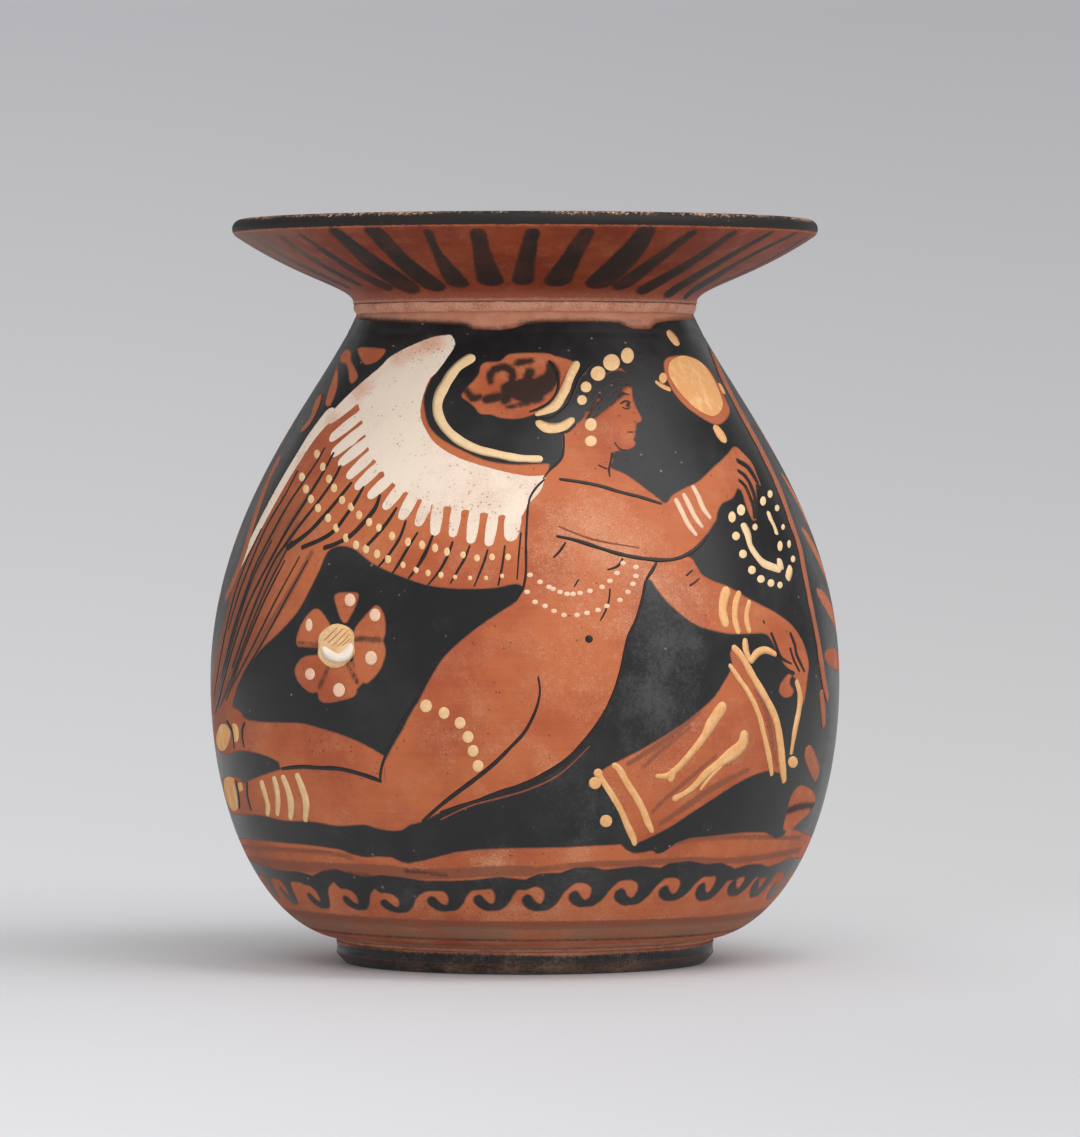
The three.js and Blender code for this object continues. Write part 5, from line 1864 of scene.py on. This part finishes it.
# How far in and up the ring turns under its bevel, and how its arris is rounded off
FOOT_TURN = (0.5, 0.35)
BELOW_ARRIS = (0.35, 0.45)
ABOVE_ARRIS = 0.1
RESTING_EDGE = 0.6
ARRIS_BARE = 0.06
FOOT_WEAR_AND_SHEEN = 0.95
FOOT_SHEEN_TURN = 1.1
FOOT_WEAR_AND_SHEEN_BACK = 0.25
FOOT_WEAR_AND_SHEEN_ABOVE = 0.6
FOOT_WORN_FADE = 0.6
FOOT_BLACK_TOP = 0.5
FOOT_WAVES = [(3, 0.22, 0.6), (8, 0.12, 0)]
FOOT_SLIP_GAP = 0.1
# brown of the foot's worn black and of its painted sheen
FOOT_BROWN_AND_SHEEN = (150, 118, 100)
FOOT_COLUMNS = 336
FOOT_ROW = 0.45
foot_inner = FOOT_RADIUS - FOOT_RING
foot_corners = np.array([
    (foot_inner + RESTING_EDGE, 0), (FOOT_RADIUS - FOOT_BEVEL - FOOT_TURN[0], 0),
    (FOOT_RADIUS - FOOT_BEVEL, FOOT_TURN[1]),
    (FOOT_RADIUS - BELOW_ARRIS[0], FOOT_ARRIS - BELOW_ARRIS[1]), (FOOT_RADIUS, FOOT_ARRIS + ABOVE_ARRIS),
    (FOOT_RADIUS - FOOT_WAIST, (FOOT_ARRIS + FOOT_HEIGHT) / 2), (FOOT_RADIUS, FOOT_HEIGHT),
    (foot_inner, FOOT_HEIGHT), (foot_inner, RESTING_EDGE), (foot_inner + RESTING_EDGE, 0)])
foot_line = spaced(foot_corners, FOOT_ROW)
foot = turned("foot", foot_line[:-1], FOOT_COLUMNS, closed=True, bunching=TURNED_BUNCHING)
foot_skin = Skin(foot, foot_line)
outer_start, arris, outer_end = travelled(foot_corners)[[1, 4, 6]]
foot_skin.field("clay", REACH)
for name in BODY_FIELDS[1:]:
    foot_skin.field(name)
# painted sheen: the rub is strongest in front, as a painted highlight, and browner below the edge, where it
# is wear
sheen_in_front = np.exp(-(foot_skin.angle / FOOT_SHEEN_TURN) ** 2)
below_arris = np.clip((arris - foot_skin.length) / FOOT_WORN_FADE, 0, 1)
wear_and_sheen_around = FOOT_WEAR_AND_SHEEN_BACK + (1 - FOOT_WEAR_AND_SHEEN_BACK) * sheen_in_front
foot_skin.fields["worn"] = FOOT_WEAR_AND_SHEEN * wear_and_sheen_around * (FOOT_WEAR_AND_SHEEN_ABOVE + (1 - FOOT_WEAR_AND_SHEEN_ABOVE) * below_arris)
index = np.arange(len(foot_skin.length))
black_end = outer_end - FOOT_BLACK_TOP - waver(foot_skin.angle, FOOT_WAVES)
foot_skin.cut("clay", (index, np.minimum(foot_skin.length - outer_start, black_end - foot_skin.length)))
foot_skin.add("clay", (index, ARRIS_BARE - np.abs(foot_skin.length - arris)))
above_black = foot_skin.length - black_end - FOOT_SLIP_GAP
foot_skin.add("slip", (index, np.minimum(above_black, outer_end + 1 - foot_skin.length)))
foot_skin.keep()
foot.data.materials.append(painted_clay("painted_foot", BODY_FIELDS, cloud=FOOT_BROWN_AND_SHEEN))
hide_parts("foot")
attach(foot, "root")

# Foot luting. The slip between the foot and the body's underside, wiped like the slip at the neck
# and of the same pinkish clay.
FOOT_LUTING_INSET = 0.4
FOOT_LUTING_BULGE = 0.15
luting_rim = FOOT_RADIUS - FOOT_LUTING_INSET
luting_back = foot_inner + FOOT_LUTING_INSET
ring_line = np.array([
    (luting_rim, FOOT_HEIGHT), (luting_rim + FOOT_LUTING_BULGE, (FOOT_HEIGHT + FOOT_JOINT_HEIGHT) / 2),
    (luting_rim, FOOT_JOINT_HEIGHT), (luting_back, FOOT_JOINT_HEIGHT), (luting_back, FOOT_HEIGHT)])
foot_luting = turned("foot_luting", ring_line, FOOT_COLUMNS, closed=True, bunching=TURNED_BUNCHING)
foot_luting.data.materials.append(luting_finish.material)
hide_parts("foot_luting")
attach(foot_luting, "root")

# Handle. Two coils of clay, each rolled out, bent double and linked with the other in a square knot;
# their ends are pressed to the mouth and the shoulder under wads of clay, and all of it is black.
STRAND = 7.4
STRAND_CLEARANCE = 0.45
HANDLE_TOP_RADIUS = 53.0
HANDLE_BOTTOM_HEIGHT = 86.0
TOP_PULL = (24.0, 0.42)
BOTTOM_PULL = (42.0, 0.55)
PAD_SIDE_MARGIN = 3.6
PAD_MARGINS = (5.0, 7.0)
PAD_THICKNESS = 9.0
LEG_SPREAD = 0.55
KNOT_END = (0, -1.84, 0.5)
KNOT_HALF = [
    (1.34, -1.73, 0.5), (1.9, -0.99, -0.21), (1.37, 0, -0.6), (LEG_SPREAD, 1.74, 0.5),
    (LEG_SPREAD, 3.3, 0.26)]
COIL_STEPS = 14
TANGENT_STEP = 0.5
COIL_END_GAP = 0.5
COIL_SWELL = (0.035, 0.11)
COIL_DENTS = (0.00010, 180)
pitch = STRAND + STRAND_CLEARANCE


def outward_at(profile, radius, height):
    """Direction square to a profile near a place on it, away from the clay, in the middle plane."""
    near = int(np.argmin(np.hypot(profile[:, 0] - radius, profile[:, 1] - height)))
    along = profile[min(near + 1, len(profile) - 1)] - profile[near - 1]
    along = along / np.linalg.norm(along)
    return Vector((0, along[1], -along[0]))


top_height = float(np.interp(HANDLE_TOP_RADIUS, under_curve[:, 0], under_curve[:, 1]))
bottom_radius = float(np.interp(HANDLE_BOTTOM_HEIGHT, upper_curve[:, 1], upper_curve[:, 0]))
spine_ends = [Vector((0, HANDLE_TOP_RADIUS, top_height)), Vector((0, bottom_radius, HANDLE_BOTTOM_HEIGHT))]
top_out = outward_at(under_curve, HANDLE_TOP_RADIUS, top_height)
bottom_out = outward_at(body_curve, bottom_radius, HANDLE_BOTTOM_HEIGHT)
top_lead = spine_ends[0] + Matrix.Rotation(TOP_PULL[1], 3, "X") @ top_out * TOP_PULL[0]
bottom_lead = spine_ends[1] + Matrix.Rotation(BOTTOM_PULL[1], 3, "X") @ bottom_out * BOTTOM_PULL[0]
spine = cubic(spine_ends[0], top_lead, bottom_lead, spine_ends[1])
spine_along = travelled(spine)
half_length = spine_along[-1] / 2


def on_spine(walked):
    return Vector([float(np.interp(walked, spine_along, spine[:, i])) for i in range(3)])


def beside(sideways, along, out):
    """A place beside the spine: sideways, up along it from its middle, and out from it, in mm."""
    walked = min(max(half_length - along, 0.0), 2 * half_length)
    tangent = (on_spine(walked + TANGENT_STEP) - on_spine(walked - TANGENT_STEP)).normalized()
    beyond = along - (half_length - walked)
    place = on_spine(walked) + Vector((0, -tangent.z, tangent.y)) * out - tangent * beyond
    return Vector((sideways, place.y, place.z))


def coil_path(side):
    legs = KNOT_HALF + [(LEG_SPREAD, (half_length - COIL_END_GAP) / pitch, 0)]
    left = [(-across, along, out) for across, along, out in legs][::-1]
    places = np.array(left + [KNOT_END] + legs) * pitch * [1, side, side]
    return [beside(*place) for place in places.tolist()]


def rounded_path(places, steps):
    """Centripetal Catmull-Rom curve through places in space."""
    places = [2 * places[0] - places[1]] + places + [2 * places[-1] - places[-2]]
    made = []
    for before, start, end, after in zip(places, places[1:], places[2:], places[3:]):
        knots = [0.0]
        for first, second in ((before, start), (start, end), (end, after)):
            knots.append(knots[-1] + math.sqrt((second - first).length))
        k0, k1, k2, k3 = knots
        for i in range(steps):
            t = k1 + (k2 - k1) * i / steps
            a1 = before.lerp(start, (t - k0) / (k1 - k0))
            a2 = start.lerp(end, (t - k1) / (k2 - k1))
            a3 = end.lerp(after, (t - k2) / (k3 - k2))
            early, late = a1.lerp(a2, (t - k0) / (k2 - k0)), a2.lerp(a3, (t - k1) / (k3 - k1))
            made.append(early.lerp(late, (t - k1) / (k2 - k1)))
    made.append(places[-2])
    return made


HANDLE_BLACK = (24, 24, 26)
HANDLE_WORN = (120, 72, 48)
HANDLE_SPECULAR = 0.5
HANDLE_FINE_GRAIN = (2500, 3, 0.65)
HANDLE_BLOTCH_GRAIN = (180, 4, 0.65)
HANDLE_BROAD_GRAIN = (60, 3, 0.6)
HANDLE_COVERS = {"grey": 0.5, "worn": 0.55}
HANDLE_RELIEF = 0.00015
handle_finish = Finish("black_handle", Specular_IOR_Level=HANDLE_SPECULAR)
place = handle_finish.object_place()
fine = handle_finish.cloud(place, *HANDLE_FINE_GRAIN)
blotch = handle_finish.cloud(place, *HANDLE_BLOTCH_GRAIN)
broad = handle_finish.cloud(place, *HANDLE_BROAD_GRAIN)
worn = handle_finish.ramp(blotch * 0.7 + fine * 0.3, 0.62, 0.70)
greyed = handle_finish.ramp(broad, 0.5, 0.75)
handle_finish.feed("Base Color", handle_finish.layered(HANDLE_BLACK, [
    (greyed * HANDLE_COVERS["grey"], BLACK_GREY), (worn * HANDLE_COVERS["worn"], HANDLE_WORN)]))
handle_finish.feed("Roughness", 0.32 + blotch * 0.14 + worn * 0.2)
handle_finish.bumped(fine * 0.3 + blotch * 1.2, HANDLE_RELIEF)

for name, side in (("handle_upper_loop", 1), ("handle_lower_loop", -1)):
    path = []
    for i, here in enumerate(rounded_path(coil_path(side), COIL_STEPS)):
        swell = 1 + COIL_SWELL[0] * noise.noise(Vector((i * COIL_SWELL[1], side * 5.0, 0)))
        path.append((here * MM + Vector((0, AXIS_Y, 0)), STRAND / 2 * MM * swell))
    loop = tube(name, [path])
    for vert in loop.data.vertices:
        vert.co += vert.normal * COIL_DENTS[0] * noise.noise(vert.co * COIL_DENTS[1])
    loop.data.materials.append(handle_finish.material)
    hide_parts(name)
    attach(loop, "root")

PAD_RINGS = 40
PAD_LUMPS = (0.0005, 160)
PAD_SUNK = 0.0004
pad_width = 2 * (LEG_SPREAD * pitch + STRAND / 2 + PAD_SIDE_MARGIN)
pads = (("handle_upper_pad", under_curve, spine_ends[0], top_out, PAD_MARGINS[0], mouth_skin),
        ("handle_lower_pad", body_curve, spine_ends[1], bottom_out, PAD_MARGINS[1], body_skin))
for name, profile, centre, outward, margin, skin in pads:
    length = STRAND + 2 * margin
    wad = bmesh.new()
    bmesh.ops.create_uvsphere(wad, u_segments=PAD_RINGS, v_segments=PAD_RINGS // 2, radius=0.5)
    bmesh.ops.scale(wad, vec=(pad_width * MM, PAD_THICKNESS * MM, length * MM), verts=wad.verts)
    turn = Matrix.Rotation(math.atan2(outward.z, outward.y), 3, "X")
    bmesh.ops.rotate(wad, verts=wad.verts, cent=(0, 0, 0), matrix=turn)
    bmesh.ops.translate(wad, verts=wad.verts, vec=centre * MM + Vector((0, AXIS_Y, 0)))
    for vert in wad.verts:
        vert.co += vert.normal * PAD_LUMPS[0] * noise.noise(vert.co * PAD_LUMPS[1])
        near, normal, _, _ = skin.tree.find_nearest(vert.co)
        if (vert.co - near).dot(normal) < -PAD_SUNK:
            vert.co = near - normal * PAD_SUNK
    pad = finished(name, wad)
    pad.data.materials.append(handle_finish.material)
    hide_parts(name)
    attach(pad, "root")
